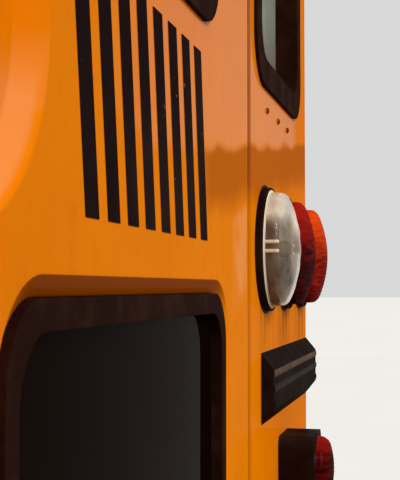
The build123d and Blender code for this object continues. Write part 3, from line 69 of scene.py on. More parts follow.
SIDES = (-1, 1)
AHEAD, BACK, UP = Vector((1, 0, 0)), Vector((-1, 0, 0)), Vector((0, 0, 1))


def middle_x(node):
    """The x of the middle of a node's box."""
    low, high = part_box(node)
    return (low.x + high.x) / 2


# Main places, from the frame's boxes
LOW, HIGH = cad_box
REAR_BUMPER = 0.13
REAR_X = LOW.x + REAR_BUMPER
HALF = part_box("rear_wall")[1].y
NOSE_X = HIGH.x
COWL_X = NOSE_X - 1.55
REAR_AXLE_X = middle_x("rear_left_tyres")
FRONT_AXLE_X = middle_x("front_left_tyre")
AXLE_Z = 0.51
SKIN = 0.0004  # a decal stands this far off the sheet

# The photograph's camera: it looks along the rear wall, across to the bus's right
IMAGE_TALL = 480
FOCAL_PX = 1083.3
SENSOR = 36.0
CAMERA_BACK = 0.2697  # behind the rear wall
CAMERA_Y = 0.9866
CAMERA_Z = 1.499
CAMERA_YAW = 12.801  # from the bus's right towards its front
CAMERA_PITCH = 2.497

# The rear wall's details
LAMP_Z = 1.557
LAMP_YS = (0.655, 0.846, 1.037)
LAMP_R = 0.0945
RIVET_YS = (0.670, 0.782, 0.886)
RIVET_Z = 1.773
MARK_Y = (-0.237, 0.232)
MARK_Z = (1.553, 1.766)
MARK_BARS = 8
MARK_BAR = 0.033
MARK_SLANT = 0.035
DOOR_SEAM_Y = 0.514
PANEL_ROW_Y, PANEL_ROW_ZS = (0.58, 1.08), (2.468, 0.80)
PANEL_ODD_RIVETS = [(0.56, 1.06), (0.56, 1.12)]  # across and up, beside the door
HEAD_ROW_Z = 2.556
PLATE_AT = (REAR_X, 0.76, 0.81)
REFLECTOR_AT = (1.04, 0.84)  # across and up

# Body heights along the sides
SKIRT_RIVET_Z = 0.50
ARCH_TOP, ARCH_HALF = 1.16, 0.70  # the rear wheels' arch, clear of rivets
SIDE_ROWS_END = {-1: COWL_X - 1.06, 1: COWL_X - 0.3}  # the entrance is on the right
BESIDE_DRIVER_X = COWL_X - 0.98  # no rivets on the left from here to the row's end
SILL_Z = 1.805
ROOF_SEAM_Z = 2.440
BOARD_Z = 2.68
RUB_ZS = (1.3475, 0.960, 0.590)
RUB_HALF = 0.0535
WINDOW_PITCH = 0.710
FIRST_WINDOW_X = REAR_X + 0.33
CORNER_R = 0.090
RAIL_DEEP = 0.019
RAIL_END_Y = 0.610
SMALL_RIVET = (0.0045, 0.0028)
OLD_RIVET_SIZE = (0.0052, 0.0038)
BOW_RIVET = (0.0052, 0.003)
RIVET_GAP, SMALL_RIVET_GAP = 0.0675, 0.062
BEAD_HALF, BEAD_TALL, BEAD_LEVEL = 0.0062, 0.0018, 0.0225
TAB_SUNK = 0.001
FLAP_Z = 0.775

# The front: across and up
HEADLAMP_AT = (0.8, 1.01)
SIGNAL_Z = 1.165
CATCH_Z = 1.02
STRIP_Z = (1.79, 2.41)
WIPER_POINTS = ((0.52, 1.742), (0.80, 2.02), (0.80, 1.80), (0.80, 2.30))  # foot, tip, blade's ends
MIRROR_GLASSES = ((1.73, 2.13), (1.53, 1.70))
MIRROR_Y, MIRROR_HALF = 1.395, 0.081
BLADE_Z, BLADE_HALF = 1.40, 0.225  # the stop arm's
BUMPER_BOLT_YS, BUMPER_BOLT_ZS = (-0.95, -0.62, -0.43, 0.43, 0.62, 0.95), (0.54, 0.66)

# Lenses and their seats
RING_THICK = 0.008
LENS_R, LENS_SIDE, LENS_TALL = 0.089, 0.026, 0.045
LOW_Y, LOW_Z, LOW_DEEP, LOW_R = 0.836, 1.197, 0.056, 0.055
LOW_LENS_SIDE = 0.018
WARNING_Z, WARNING_DEEP, WARNING_SIDE = 2.680, 0.025, 0.010
SHALLOW_TALL = 0.028  # of the low lenses and the warning lenses
RIB_DEEP = 0.0003
END_MARKERS = ((-0.9, 2.83, 2.86), (-0.16, 2.86, 2.90), (0, 2.86, 2.90), (0.16, 2.86, 2.90),
               (0.9, 2.83, 2.86))  # across, up at the rear, up at the front
SIDE_MARKER_Z, ROUND_MARKER_Z = 2.62, 0.78
MARKER_BASE = [(0.043, -0.001), (0.043, 0.005), (0.038, 0.008), (0.036, 0.005)]
MARKER_LENS = [(0.037, 0.0), (0.037, 0.006), (0.02, 0.0085), (0, 0.009)]

# Tyres: (radius, distance in from the side) of one half, from the bead to the tread
TYRE_R = 0.51
TYRE_BEAD = (0.289, 0.028)
SIDEWALL = [TYRE_BEAD, (0.300, 0.014), (0.330, 0.008), (0.336, 0.005), (0.342, 0.008), (0.385, 0.002),
            (0.420, 0.0), (0.440, 0.003), (0.446, 0.001), (0.452, 0.004), (0.478, 0.012), (0.495, 0.022),
            (0.506, 0.034), (TYRE_R, 0.046)]
GROOVES, GROOVE_DEEP = (0.078, 0.112), 0.012
SHOULDER, SHOULDER_CUT, RIB_CUT = 0.068, 0.010, 0.004
TYRE_STEPS = 160
NUT_CIRCLE, NUTS = 0.143, 10

# Seats
SEAT_PITCH = 0.710
SEAT_BACK_OUT = 0.070
SEAT_LEAN = 0.070 / 0.720
SEAT_INSET = 0.008
PAD_PRESSURE = 4.0
PAD_CAP = 0.012
PAD_FRAMES = 20
WELT_R, WELT_SIDES = 0.0042, 6
CUSHION_LONG, CUSHION_DEEP, CUSHION_CORNER = 0.424, 0.122, 0.026
BACK_DEEP, BACK_TALL, BACK_CORNER, BACK_TOP_R = 0.078, 0.704, 0.024, 0.095

# The studio
GROUND_R = 160.0
SKY_STOPS = [(0.0, 0.30), (0.5, 0.36), (0.54, 0.45), (0.59, 0.82), (1.0, 0.9)]  # (height, brightness)
SHOWN_SKY = (0.86, 0.865, 0.865, 1.0)
SKY_STRENGTH = 0.8


def srgb(red, green, blue):
    """A colour as a picture gives it, 0 to 255, as linear RGBA."""
    def linear(c):
        c /= 255
        return c / 12.92 if c <= 0.04045 else ((c + 0.055) / 1.055) ** 2.4
    return (linear(red), linear(green), linear(blue), 1.0)


# Materials
class Nodes:
    """A node tree written as short sums. A value is a number, a colour as 0 to 255, or a socket."""

    def __init__(self, tree):
        self.tree = tree

    def put(self, socket, value):
        if isinstance(value, bpy.types.NodeSocket):
            self.tree.links.new(value, socket)
        else:
            socket.default_value = srgb(*value) if socket.type == "RGBA" else value

    def add(self, kind, values, **settings):
        """A new node, with its settings and with its inputs by name or number."""
        node = self.tree.nodes.new("ShaderNode" + kind)
        for name, value in settings.items():
            setattr(node, name, value)
        for name, value in values.items():
            self.put(node.inputs[name], value)
        return node

    def math(self, operation, a, b=0.0, clamp=False):
        return self.add("Math", {0: a, 1: b}, operation=operation, use_clamp=clamp).outputs[0]

    def times(self, *values):
        return reduce(lambda a, b: self.math("MULTIPLY", a, b), values)

    def plus(self, *values):
        return reduce(lambda a, b: self.math("ADD", a, b), values)

    def most(self, *values):
        return reduce(lambda a, b: self.math("MAXIMUM", a, b), values)

    def minus(self, a, b):
        return self.math("SUBTRACT", a, b)

    def size(self, value):
        return self.math("ABSOLUTE", value)

    def ramp(self, value, low, high, start=0.0, end=1.0):
        """start at low and end at high, level beyond them and smooth between. low may be the larger."""
        if low > high:
            low, high, start, end = high, low, end, start
        values = {"Value": value, "From Min": low, "From Max": high, "To Min": start, "To Max": end}
        return self.add("MapRange", values, interpolation_type="SMOOTHSTEP").outputs[0]

    def band(self, value, low, low_full, high_full, high):
        """1 between the two middle levels, and 0 beyond the outer two."""
        return self.times(self.ramp(value, low, low_full), self.ramp(value, high, high_full))

    def mix(self, factor, a, b):
        return self.add("Mix", {0: factor, 6: a, 7: b}, data_type="RGBA").outputs[2]

    def background_ray(self):
        """1 for the rays that show the background: from the camera, in a reflection or through glass."""
        rays = self.add("LightPath", {})
        return self.most(*(rays.outputs[f"Is {kind} Ray"] for kind in ("Camera", "Glossy", "Transmission")))


class Shader(Nodes):
    """A material with its Principled shader and the part's own coordinates."""

    def __init__(self, name):
        self.material = bpy.data.materials.new(name)
        self.material.use_nodes = True
        super().__init__(self.material.node_tree)
        self.bsdf = self.tree.nodes["Principled BSDF"]
        self.coords = self.add("TexCoord", {})
        self.place = self.coords.outputs["Object"]
        self.x, self.y, self.z = self.add("SeparateXYZ", {0: self.place}).outputs

    def noise(self, scale, detail, rough=0.5, stretch=None):
        place = self.place
        if stretch:
            place = self.add("Mapping", {"Vector": place, "Scale": stretch}).outputs[0]
        values = {"Vector": place, "Scale": scale, "Detail": detail, "Roughness": rough}
        return self.add("TexNoise", values).outputs["Fac"]

    def cells(self, scale):
        return self.add("TexVoronoi", {"Vector": self.place, "Scale": scale}).outputs["Distance"]

    def bump(self, height, distance, normal=None):
        values = {"Distance": distance, "Height": height}
        if normal:
            values["Normal"] = normal
        return self.add("Bump", values).outputs[0]

    def rounded(self, radius):
        """The surface's normal with its sharp edges rounded off."""
        return self.add("Bevel", {"Radius": radius}, samples=4).outputs[0]

    def done(self, colour, rough, normal=None, **sockets):
        """Sets the shader's own sockets. An underscore in a name stands for a space."""
        sockets = {"Base Color": colour, "Roughness": rough, **sockets}
        if normal:
            sockets["Normal"] = normal
        for name, value in sockets.items():
            self.put(self.bsdf.inputs[name.replace("_", " ")], value)
        return self.material


def yellow_paint():
    """School bus paint: sun-dulled, with dust low down, faint runs and grime under the rear lamps, painted
    shade on what faces down and along the door's seams, and a painted dark reflection and painted highlights
    on the rear wall.
    """
    s = Shader("school_bus_paint")
    cloud = s.noise(1.1, 3.0)
    fine = s.noise(38.0, 3.0)
    colour = s.mix(s.ramp(cloud, 0.30, 0.72), (221, 115, 1), (235, 130, 3))
    colour = s.mix(s.times(s.ramp(fine, 0.5, 0.8), 0.25), colour, (206, 108, 4))

    # Thin runs of grime down upright sheets, and dust that thickens towards the skirt
    runs = s.ramp(s.noise(1.0, 4.0, 0.6, (42.0, 42.0, 1.3)), 0.6, 0.82)
    colour = s.mix(s.times(runs, 0.22), colour, (140, 74, 10))
    dust = s.times(s.ramp(s.z, 1.35, 0.45), s.ramp(s.noise(5.0, 6.0, 0.65), 0.3, 0.75))
    colour = s.mix(s.times(dust, 0.6), colour, (150, 116, 70))

    # Painted shade on what faces down, darker the more it faces the ground
    facing_up = s.add("SeparateXYZ", {0: s.coords.outputs["Normal"]}).outputs["Z"]
    colour = s.mix(s.ramp(facing_up, -0.2, -0.5, 0.0, 0.92), colour, (124, 50, 1))

    # Grime that has run down from each rear lamp's ring
    side = s.size(s.y)
    behind = s.ramp(s.x, REAR_X + 0.05, REAR_X + 0.02)
    foot = LAMP_Z - LAMP_R
    grime = s.most(*(s.ramp(s.size(s.minus(side, lamp_y)), 0.085, 0.03) for lamp_y in LAMP_YS))
    streaks = s.ramp(s.noise(1.0, 3.0, 0.6, (34.0, 34.0, 4.0)), 0.38, 0.66)
    grime = s.times(grime, s.band(s.z, LAMP_Z - 0.22, foot, foot + 0.01, foot + 0.02), behind, streaks)
    colour = s.mix(s.times(grime, 0.55), colour, (104, 56, 10))

    # A painted dark reflection: a darker band on the rear wall above the lamps. The band's level rises a
    # little towards the corners.
    band_level = s.plus(s.minus(s.z, s.times(side, 0.13)), s.times(s.noise(9.0, 4.0), 0.035))
    to_right = s.minus(0.0, s.y)
    left_wall = s.ramp(s.y, 0.50, 0.56)
    dark_reflection_area = s.times(s.most(s.ramp(to_right, 0.16, 0.27), left_wall), behind)
    dark_reflection_band = s.times(s.band(band_level, 1.548, 1.600, 1.640, 1.654), dark_reflection_area)
    colour = s.mix(s.times(dark_reflection_band, 0.7), colour, (168, 78, 0))
    # Painted shade along the door's seams, stronger higher up
    seam = s.ramp(s.size(s.minus(side, DOOR_SEAM_Y)), 0.018, 0.006)
    seam = s.times(seam, s.ramp(s.z, 1.60, 1.68, 0.3, 0.75), behind)
    colour = s.mix(seam, colour, (138, 62, 4))

    # A painted highlight: a pale strip on the door's edge, level with the lamps
    edge_highlight = s.times(s.band(side, 0.375, 0.425, 0.488, 0.500), s.band(band_level, 1.420, 1.460, 1.545, 1.565),
                     s.ramp(s.noise(16.0, 3.0), 0.3, 0.6, 0.3, 1.0), behind)
    colour = s.mix(s.times(edge_highlight, 0.55), colour, (246, 164, 100))

    # A painted highlight: the lower part of the door handle's pocket is painted paler
    pocket_highlight = s.times(s.band(s.x, REAR_X + 0.002, REAR_X + 0.008, REAR_X + 0.026, REAR_X + 0.030),
                     s.ramp(side, 0.490, 0.480), s.band(s.z, 1.50, 1.54, 1.62, 1.67))
    colour = s.mix(s.times(pocket_highlight, 0.45), colour, (232, 156, 96))

    rough = s.ramp(s.noise(9.0, 4.0), 0.3, 0.75, 0.2, 0.34)
    rough = s.plus(rough, s.times(s.most(dust, grime), 0.3))
    wave = s.bump(s.noise(3.1, 2.0), 0.010, s.rounded(0.004))
    peel = s.bump(s.noise(420.0, 2.0), 0.00012, wave)

    # Rain keeps the rear wall's upper half glossier than the rest of it
    right_wall = s.ramp(to_right, -0.2, 0.05)
    gloss = s.times(s.ramp(band_level, 1.640, 1.660, 0.0, 0.28), s.most(right_wall, left_wall),
                    s.ramp(side, 1.03, 0.94), s.minus(1.0, seam))
    gloss = s.most(s.plus(gloss, 0.03), s.ramp(s.x, REAR_X + 0.1, REAR_X + 0.6, 0.0, 0.24))
    return s.done(colour, rough, peel, Specular_IOR_Level=0.0, Coat_Weight=gloss, Coat_Roughness=0.12)


def dark_paint(name, base, dusty, rough=(0.3, 0.5), dust=0.5, scale=6.0, gloss=0.06):
    """Dark enamel with scuffs and settled dust."""
    s = Shader(name)
    scuffs = s.ramp(s.noise(26.0, 6.0, 0.7), 0.5, 0.78)
    settled = s.ramp(s.noise(scale, 5.0, 0.6), 0.38, 0.7)
    colour = s.mix(s.times(settled, dust), base, dusty)
    colour = s.mix(s.times(scuffs, dust * 0.5), colour, dusty)
    roughness = s.ramp(s.noise(14.0, 4.0), 0.3, 0.7, *rough)
    normal = s.bump(s.noise(300.0, 2.0), 0.0002, s.rounded(0.003))
    return s.done(colour, roughness, normal, Specular_IOR_Level=0.0, Coat_Weight=gloss, Coat_Roughness=0.2)


def filmed(name, base, dusty, noise, fade, amount, rough, grain=None, edge=None, **sockets):
    """A surface under a patchy film that changes its colour and gloss. grain is scale, detail and depth."""
    s = Shader(name)
    film = s.ramp(s.noise(*noise), *fade)
    colour = s.mix(s.times(film, amount), base, dusty)
    normal = None
    if grain:
        scale, detail, depth = grain
        normal = s.bump(s.noise(scale, detail), depth, s.rounded(edge) if edge else None)
    return s.done(colour, s.ramp(film, 0.0, 1.0, *rough), normal, **sockets)


def rubber(name, base, dusty, rough=0.55, grain=220.0):
    """Moulded rubber, a little bloomed."""
    return filmed(name, base, dusty, (18.0, 5.0, 0.65), (0.4, 0.75), 0.55, (rough - 0.12, rough + 0.15),
                  (grain, 3.0, 0.0004), 0.003, Specular_IOR_Level=0.0, Coat_Weight=0.025, Coat_Roughness=0.25)


def window_glass():
    """Tinted safety glass with a film of dust. The rear corner panes carry a pale painted reflection, paler
    towards the top, and let less through.
    """
    s = Shader("tinted_glass")
    film = s.ramp(s.noise(3.0, 6.0, 0.65), 0.4, 0.8)
    # Painted reflection on the rear corner panes: pale, paler towards the top
    corner_reflection = s.times(s.ramp(s.x, REAR_X + 0.06, REAR_X + 0.04), 0.9)
    pale = s.ramp(s.plus(s.z, s.times(s.noise(5.0, 3.0), 0.1)), 1.86, 2.05)
    colour = s.mix(film, (132, 132, 124), (104, 98, 86))
    colour = s.mix(corner_reflection, colour, s.mix(pale, (176, 160, 140), (222, 232, 214)))
    clearness, cover = s.ramp(corner_reflection, 0.0, 0.9, 0.9, 0.5), s.ramp(corner_reflection, 0.0, 0.9, 0.42, 0.85)
    return s.done(colour, s.ramp(film, 0.0, 1.0, 0.015, 0.07), s.bump(s.noise(1.6, 1.0), 0.002), IOR=1.45,
                  Transmission_Weight=clearness, Alpha=cover)


def lens(name, deep, bright):
    """Moulded coloured plastic with painted light: bright at each lens's top and painted shade at its foot,
    streaked along its ribs.
    """
    s = Shader(name)
    # Painted light: up to a lens's top the brightness rises, and above the lens it falls back to none
    levels = ((1.206, 1.262, 1), (1.300, 1.400, -1), (1.526, 1.642, 1), (1.900, 2.000, -1),
              (2.600, 2.765, 1))
    painted_top_light = s.plus(*(s.ramp(s.z, low, high, 0.0, sign) for low, high, sign in levels))
    streaks = s.ramp(s.noise(1.0, 4.0, 0.6, (22.0, 22.0, 150.0)), 0.3, 0.7, -0.22, 0.22)
    colour = s.mix(s.math("ADD", painted_top_light, streaks, True), deep, bright)
    roughness = s.ramp(s.noise(30.0, 4.0), 0.3, 0.75, 0.12, 0.24)
    return s.done(colour, roughness, s.bump(s.noise(60.0, 3.0), 0.0003), Specular_IOR_Level=0.0,
                  Coat_Weight=0.03, Coat_Roughness=0.06)


def clear_shell():
    """Clear lamp plastic, with painted light and shade: a creamy painted highlight at the top, thin across
    the middle and painted brown shade at the foot.
    """
    s = Shader("clear_lens_shell")
    cloud = s.noise(40.0, 3.0)
    level = s.plus(s.z, s.times(cloud, 0.02))
    # Painted light and shade: cream towards the shell's top, brown towards its foot
    top = s.ramp(level, 1.592, 1.622)
    foot = s.ramp(level, 1.520, 1.488)
    colour = s.mix(top, (186, 172, 150), (240, 228, 204))
    colour = s.mix(s.times(foot, 0.8), colour, (140, 108, 82))

    # The bulging face is milky, with painted light and shade: bright in its upper half and along the lower
    # half's outer side, darker elsewhere
    below = s.ramp(s.z, LAMP_Z - 0.001, LAMP_Z - 0.012)
    outer = s.times(below, s.ramp(s.size(s.y), LAMP_YS[0] - 0.030, LAMP_YS[0] - 0.010))
    bright = s.most(s.ramp(s.z, LAMP_Z + 0.003, LAMP_Z + 0.040), s.times(below, 0.3), s.times(outer, 0.7))
    crown = s.most(s.ramp(s.x, REAR_X - 0.042, REAR_X - 0.051), outer)
    colour = s.mix(s.times(crown, 0.85), colour, s.mix(bright, (124, 102, 76), (244, 222, 192)))

    streaks = s.ramp(s.noise(1.0, 3.0, 0.6, (60.0, 60.0, 14.0)), 0.4, 0.65)
    milky = s.times(crown, s.ramp(bright, 0.0, 1.0, 0.42, 0.66))
    cover = s.plus(s.times(top, 0.5), s.times(foot, 0.48), milky, s.times(streaks, 0.12))
    return s.done(colour, s.ramp(cloud, 0.3, 0.7, 0.06, 0.16), s.bump(cloud, 0.0006), Coat_Weight=0.3,
                  Coat_Roughness=0.05, Alpha=s.math("ADD", cover, 0.12, True))


def metal(name, base, stained, rough=(0.2, 0.42)):
    """Bright or dull metal with drawn grain and stains."""
    s = Shader(name)
    drawn = s.noise(4.0, 3.0, 0.5, (2.0, 90.0, 90.0))
    stain = s.ramp(s.noise(11.0, 6.0, 0.7), 0.5, 0.75)
    colour = s.mix(s.times(stain, 0.6), base, stained)
    normal = s.bump(drawn, 0.00015, s.rounded(0.002))
    return s.done(colour, s.ramp(drawn, 0.3, 0.7, *rough), normal, Metallic=1.0)


def decal():
    """Black film with chips worn out of it and a dusty sheen."""
    s = Shader("black_film")
    sheen = s.ramp(s.noise(4.0, 5.0, 0.6), 0.4, 0.75)
    chips = s.ramp(s.noise(95.0, 3.0, 0.7), 0.68, 0.71)
    where = s.ramp(s.noise(7.0, 2.0), 0.50, 0.60)
    colour = s.mix(s.times(sheen, 0.5), (24, 7, 8), (48, 36, 32))
    colour = s.mix(s.times(chips, where), colour, (205, 170, 120))
    return s.done(colour, s.ramp(sheen, 0.0, 1.0, 0.32, 0.5), s.bump(chips, -0.0003), Specular_IOR_Level=0.0,
                  Coat_Weight=0.03, Coat_Roughness=0.2)


def vinyl():
    """Grained seat vinyl, worn paler on the crowns."""
    s = Shader("seat_vinyl")
    grain = s.cells(260.0)
    worn = s.ramp(s.noise(6.0, 5.0, 0.6), 0.4, 0.75)
    colour = s.mix(s.times(worn, 0.5), (96, 66, 44), (140, 106, 78))
    colour = s.mix(s.ramp(grain, 0.0, 0.3, 0.25, 0.0), colour, (54, 36, 24))
    return s.done(colour, s.ramp(worn, 0.0, 1.0, 0.38, 0.55), s.bump(grain, 0.0008), Sheen_Weight=0.1)


def floor_rubber():
    """Black ribbed floor covering."""
    s = Shader("floor_rubber")
    ribs = s.math("SINE", s.times(s.y, 420.0))
    dust = s.ramp(s.noise(8.0, 6.0, 0.6), 0.35, 0.7)
    colour = s.mix(s.times(dust, 0.6), (38, 37, 36), (92, 84, 74))
    return s.done(colour, s.ramp(dust, 0.0, 1.0, 0.55, 0.8), s.bump(ribs, 0.0015))


def reflector(name, base, bright):
    """A prismatic reflector or a small marker lens."""
    s = Shader(name)
    prisms = s.cells(190.0)
    colour = s.mix(s.ramp(prisms, 0.0, 0.5), bright, base)
    return s.done(colour, s.ramp(prisms, 0.0, 0.6, 0.1, 0.22), s.bump(prisms, 0.0006), Coat_Weight=0.7,
                  Coat_Roughness=0.04)


PAINT = yellow_paint()
BLACK = dark_paint("black_enamel", (24, 13, 9), (50, 38, 30), dust=0.3, scale=21.0, gloss=0.025)
PLASTIC = dark_paint("black_plastic", (26, 10, 8), (64, 48, 36), (0.35, 0.55), 0.4)
CHASSIS = dark_paint("chassis_enamel", (30, 28, 27), (96, 78, 58), (0.5, 0.75), 0.8)
WHEEL = dark_paint("wheel_enamel", (34, 32, 31), (104, 88, 70), (0.35, 0.6), 0.6)
DASH = dark_paint("grey_dash", (58, 56, 54), (88, 84, 78), (0.5, 0.7), 0.4)
SIGN_RED = dark_paint("sign_red", (178, 22, 18), (150, 60, 44), (0.25, 0.45), 0.3)
CAST = dark_paint("cast_iron", (70, 64, 60), (98, 74, 52), (0.6, 0.85), 0.8)
GASKET = rubber("gasket_rubber", (34, 14, 8), (62, 38, 24))
FLAP = rubber("flap_rubber", (30, 29, 28), (92, 80, 64), 0.7, 60.0)
TYRE = filmed("tyre_rubber", (34, 32, 31), (96, 84, 70), (7.0, 6.0, 0.65), (0.35, 0.7), 0.5, (0.6, 0.85),
              (160.0, 4.0, 0.0006), Specular_IOR_Level=0.3)
GLASS = window_glass()
DOOR_GLASS = filmed("door_glass", (50, 26, 14), (44, 26, 16), (3.0, 6.0, 0.65), (0.4, 0.8), 1.0, (0.03, 0.10),
                    (1.6, 1.0, 0.002), Transmission_Weight=0.85, IOR=1.022)
# Each lens's painted shade colour, then its painted lit colour
RED_LENS = lens("red_lens", (44, 2, 4), (156, 22, 14))
AMBER_LENS = lens("amber_lens", (112, 6, 4), (222, 70, 6))
CLEAR_LENS = clear_shell()
CREAM = dark_paint("cream_plastic", (240, 226, 200), (206, 184, 152), (0.2, 0.35), 0.3)
BULB = dark_paint("dusty_bulb_glass", (136, 112, 84), (108, 86, 62), (0.2, 0.35), 0.3)
BROWN_PLASTIC = dark_paint("brown_plastic", (62, 38, 26), (94, 66, 46), (0.35, 0.5), 0.4)
CHROME = metal("lamp_chrome", (124, 108, 90), (86, 68, 52), (0.16, 0.30))
RAIL_BEAD = dark_paint("rail_bead_enamel", (74, 58, 46), (112, 92, 72), (0.4, 0.6), 0.6)
RAIL_MIDDLE = dark_paint("rail_middle_enamel", (36, 24, 20), (62, 48, 40), (0.4, 0.6), 0.5)
STEEL = metal("bright_steel", (200, 198, 192), (150, 130, 110))
# Dark brown rivet heads
OLD_RIVET = dark_paint("dark_brown_rivet", (96, 42, 14), (130, 74, 40), (0.5, 0.7), 0.5)
RUSTY = metal("rusty_steel", (128, 112, 98), (104, 64, 40), (0.4, 0.65))
DECAL = decal()
VINYL = vinyl()
PIPING = rubber("seat_piping", (52, 34, 24), (96, 70, 50), 0.45, 300.0)
FLOORING = floor_rubber()
RED_REFLECTOR = reflector("red_reflector", (120, 6, 4), (200, 30, 18))
AMBER_REFLECTOR = reflector("amber_reflector", (200, 84, 6), (250, 150, 30))
MIRROR = filmed("mirror_glass", (222, 226, 226), (196, 198, 194), (12.0, 5.0, 0.6), (0.4, 0.8), 1.0,
                (0.02, 0.08), Metallic=1.0)
PLATE = dark_paint("plate_white", (226, 224, 214), (196, 190, 172), (0.35, 0.5), 0.4)

# Each slot's materials. The first one is the finish of the CAD nodes in that slot.
SLOT_MATERIALS = {
    "school_bus_yellow": (PAINT, OLD_RIVET), "black_paint": (BLACK, DECAL, RAIL_BEAD, RAIL_MIDDLE),
    "black_plastic": (PLASTIC, BROWN_PLASTIC), "gasket_rubber": (GASKET,), "window_glass": (GLASS,),
    "red_lens": (RED_LENS, RED_REFLECTOR), "amber_lens": (AMBER_LENS, AMBER_REFLECTOR),
    "clear_lens": (CLEAR_LENS, CREAM, BULB, PLATE), "tyre_rubber": (TYRE,), "wheel_paint": (WHEEL,),
    "chassis_black": (CHASSIS,), "bare_steel": (RUSTY, STEEL, CHROME, MIRROR), "cast_block": (CAST,),
    "stop_red": (SIGN_RED,), "seat_vinyl": (VINYL, PIPING), "floor_mat": (FLOORING,),
}
OWN_FINISH = {"dashboard": DASH, "mud_flaps": FLAP, "rear_door_handle": STEEL, "rear_door_glass": DOOR_GLASS}


def finish_cad_nodes():
    """Gives each CAD node its own material, or else the one of its slot."""
    for entry in frame["record"]["subparts"]:
        materials = frame["nodes"][entry["node"]].data.materials
        materials.clear()
        materials.append(OWN_FINISH.get(entry["node"], SLOT_MATERIALS[entry["material_slot"]][0]))


# Mesh builders
def new_piece(name, bm, material, fold=35.0, body="bus"):
    """Makes the object from a bmesh, smooth up to the fold angle, and puts it on its body."""
    bmesh.ops.recalc_face_normals(bm, faces=bm.faces)
    mesh = bpy.data.meshes.new(name)
    bm.to_mesh(mesh)
    bm.free()
    mesh.materials.append(material)
    mesh.shade_smooth()
    mesh.set_sharp_from_angle(angle=radians(fold))
    piece = bpy.data.objects.new(name, mesh)
    bpy.context.scene.collection.objects.link(piece)
    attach(piece, body)
    return piece


def bridge(bm, rings, closed=True):
    """Faces between each ring of points and the next. A ring of one point closes the end."""
    for one, two in zip(rings[:-1], rings[1:]):
        count = max(len(one), len(two))
        for step in range(count if closed else count - 1):
            after = (step + 1) % count
            corners = [one[step % len(one)], one[after % len(one)],
                       two[after % len(two)], two[step % len(two)]]
            bm.faces.new(list(dict.fromkeys(corners)))


def circle(steps, start=0.0):
    """The cosine and sine of even steps round a whole turn."""
    turns = [start + 2 * pi * step / steps for step in range(steps)]
    return [(cos(turn), sin(turn)) for turn in turns]


def lathe(bm, origin, axis, profile, steps):
    """Turns (radius, height) points round an axis through origin. A radius of 0 closes the end."""
    axis = Vector(axis).normalized()
    side = axis.orthogonal().normalized()
    other = axis.cross(side)
    rings = []
    for radius, height in profile:
        centre = Vector(origin) + axis * height
        turns = circle(steps if radius else 1)
        rings.append([bm.verts.new(centre + (side * c + other * s) * radius) for c, s in turns])
    bridge(bm, rings)


def slab(bm, corner, opposite, edge, segments=2, turn=None):
    """A box between two corners, with its edges rounded off. turn is a matrix about the box's middle."""
    low, high = Vector(map(min, corner, opposite)), Vector(map(max, corner, opposite))
    place = Matrix.Translation((low + high) / 2) @ (turn or Matrix.Identity(4))
    made = bmesh.ops.create_cube(bm, size=1.0, matrix=place @ Matrix.Diagonal((*(high - low), 1)))
    edges = list({e for v in made["verts"] for e in v.link_edges})
    bmesh.ops.bevel(bm, geom=edges, offset=edge, segments=segments, affect="EDGES", profile=0.5)


def rod(bm, start, end, radius):
    """A round bar with closed ends."""
    start, end = Vector(start), Vector(end)
    reach = (end - start).length
    lathe(bm, start, end - start, [(0, 0), (radius, 0), (radius, reach), (0, reach)], 8)


def prism(bm, outline, shift):
    """A flat outline, extruded along a vector."""
    base = [bm.verts.new(p) for p in outline]
    top = [bm.verts.new(Vector(p) + Vector(shift)) for p in outline]
    bm.faces.new(base)
    bm.faces.new(list(reversed(top)))
    bridge(bm, [base, top])


def rivet(bm, at, facing, radius=0.005, tall=0.0032):
    """A domed head on a surface."""
    profile = [(radius, 0), (radius * 0.86, tall * 0.6), (radius * 0.45, tall * 0.94), (0, tall)]
    lathe(bm, at, facing, profile, 8)


def spread(low, high, gap):
    """Even steps from low to high, about gap apart, both ends taken."""
    count = max(1, round((high - low) / gap))
    return [low + (high - low) * i / count for i in range(count + 1)]


def aimed(normal):
    """A turn that puts local Z along the normal and keeps local X level."""
    z = Vector(normal).normalized()
    x = UP.cross(z)
    x = x.normalized() if x.length > 0.05 else AHEAD
    return Matrix((x, z.cross(x), z)).transposed().to_4x4()


def tab(bm, at, normal, wide, tall, deep, edge):
    """A small rounded box standing on a surface, sunk a little into it."""
    middle = Vector(at) + Vector(normal).normalized() * (deep / 2 - TAB_SUNK)
    half = Vector((wide, tall, deep)) / 2
    slab(bm, middle - half, middle + half, edge, 2, aimed(normal))


def tree_of(*nodes):
    """The faces of some CAD nodes, to find where a ray meets them."""
    points, faces = [], []
    for name in nodes:
        mesh = frame["nodes"][name].data
        start = len(points)
        points += [vertex.co for vertex in mesh.vertices]
        faces += [[start + i for i in face.vertices] for face in mesh.polygons]
    return BVHTree.FromPolygons(points, faces)


def meet(tree, start, towards):
    """Where a ray first meets the faces, and their normal there. Both are None where it misses."""
    return tree.ray_cast(Vector(start), Vector(towards))[:2]


SHELL = tree_of("roof", "left_side_wall", "right_side_wall", "rear_wall", "cab_front", "rear_door")


# The rear wall and its door
def hazard_marking():
    """A row of slanted black bars across the emergency door, where the marking was."""
    bm = bmesh.new()
    pitch = (MARK_Y[1] - MARK_Y[0] - MARK_BAR - MARK_SLANT) / (MARK_BARS - 1)
    for number in range(MARK_BARS):
        foot = MARK_Y[0] + number * pitch
        top = foot + MARK_SLANT
        corners = ((foot, MARK_Z[0]), (foot + MARK_BAR, MARK_Z[0]),
                   (top + MARK_BAR, MARK_Z[1]), (top, MARK_Z[1]))
        prism(bm, [(REAR_X - SKIN, y, z) for y, z in corners], (-SKIN, 0, 0))
    new_piece("rear_hazard_marking", bm, DECAL, body="rear_door")


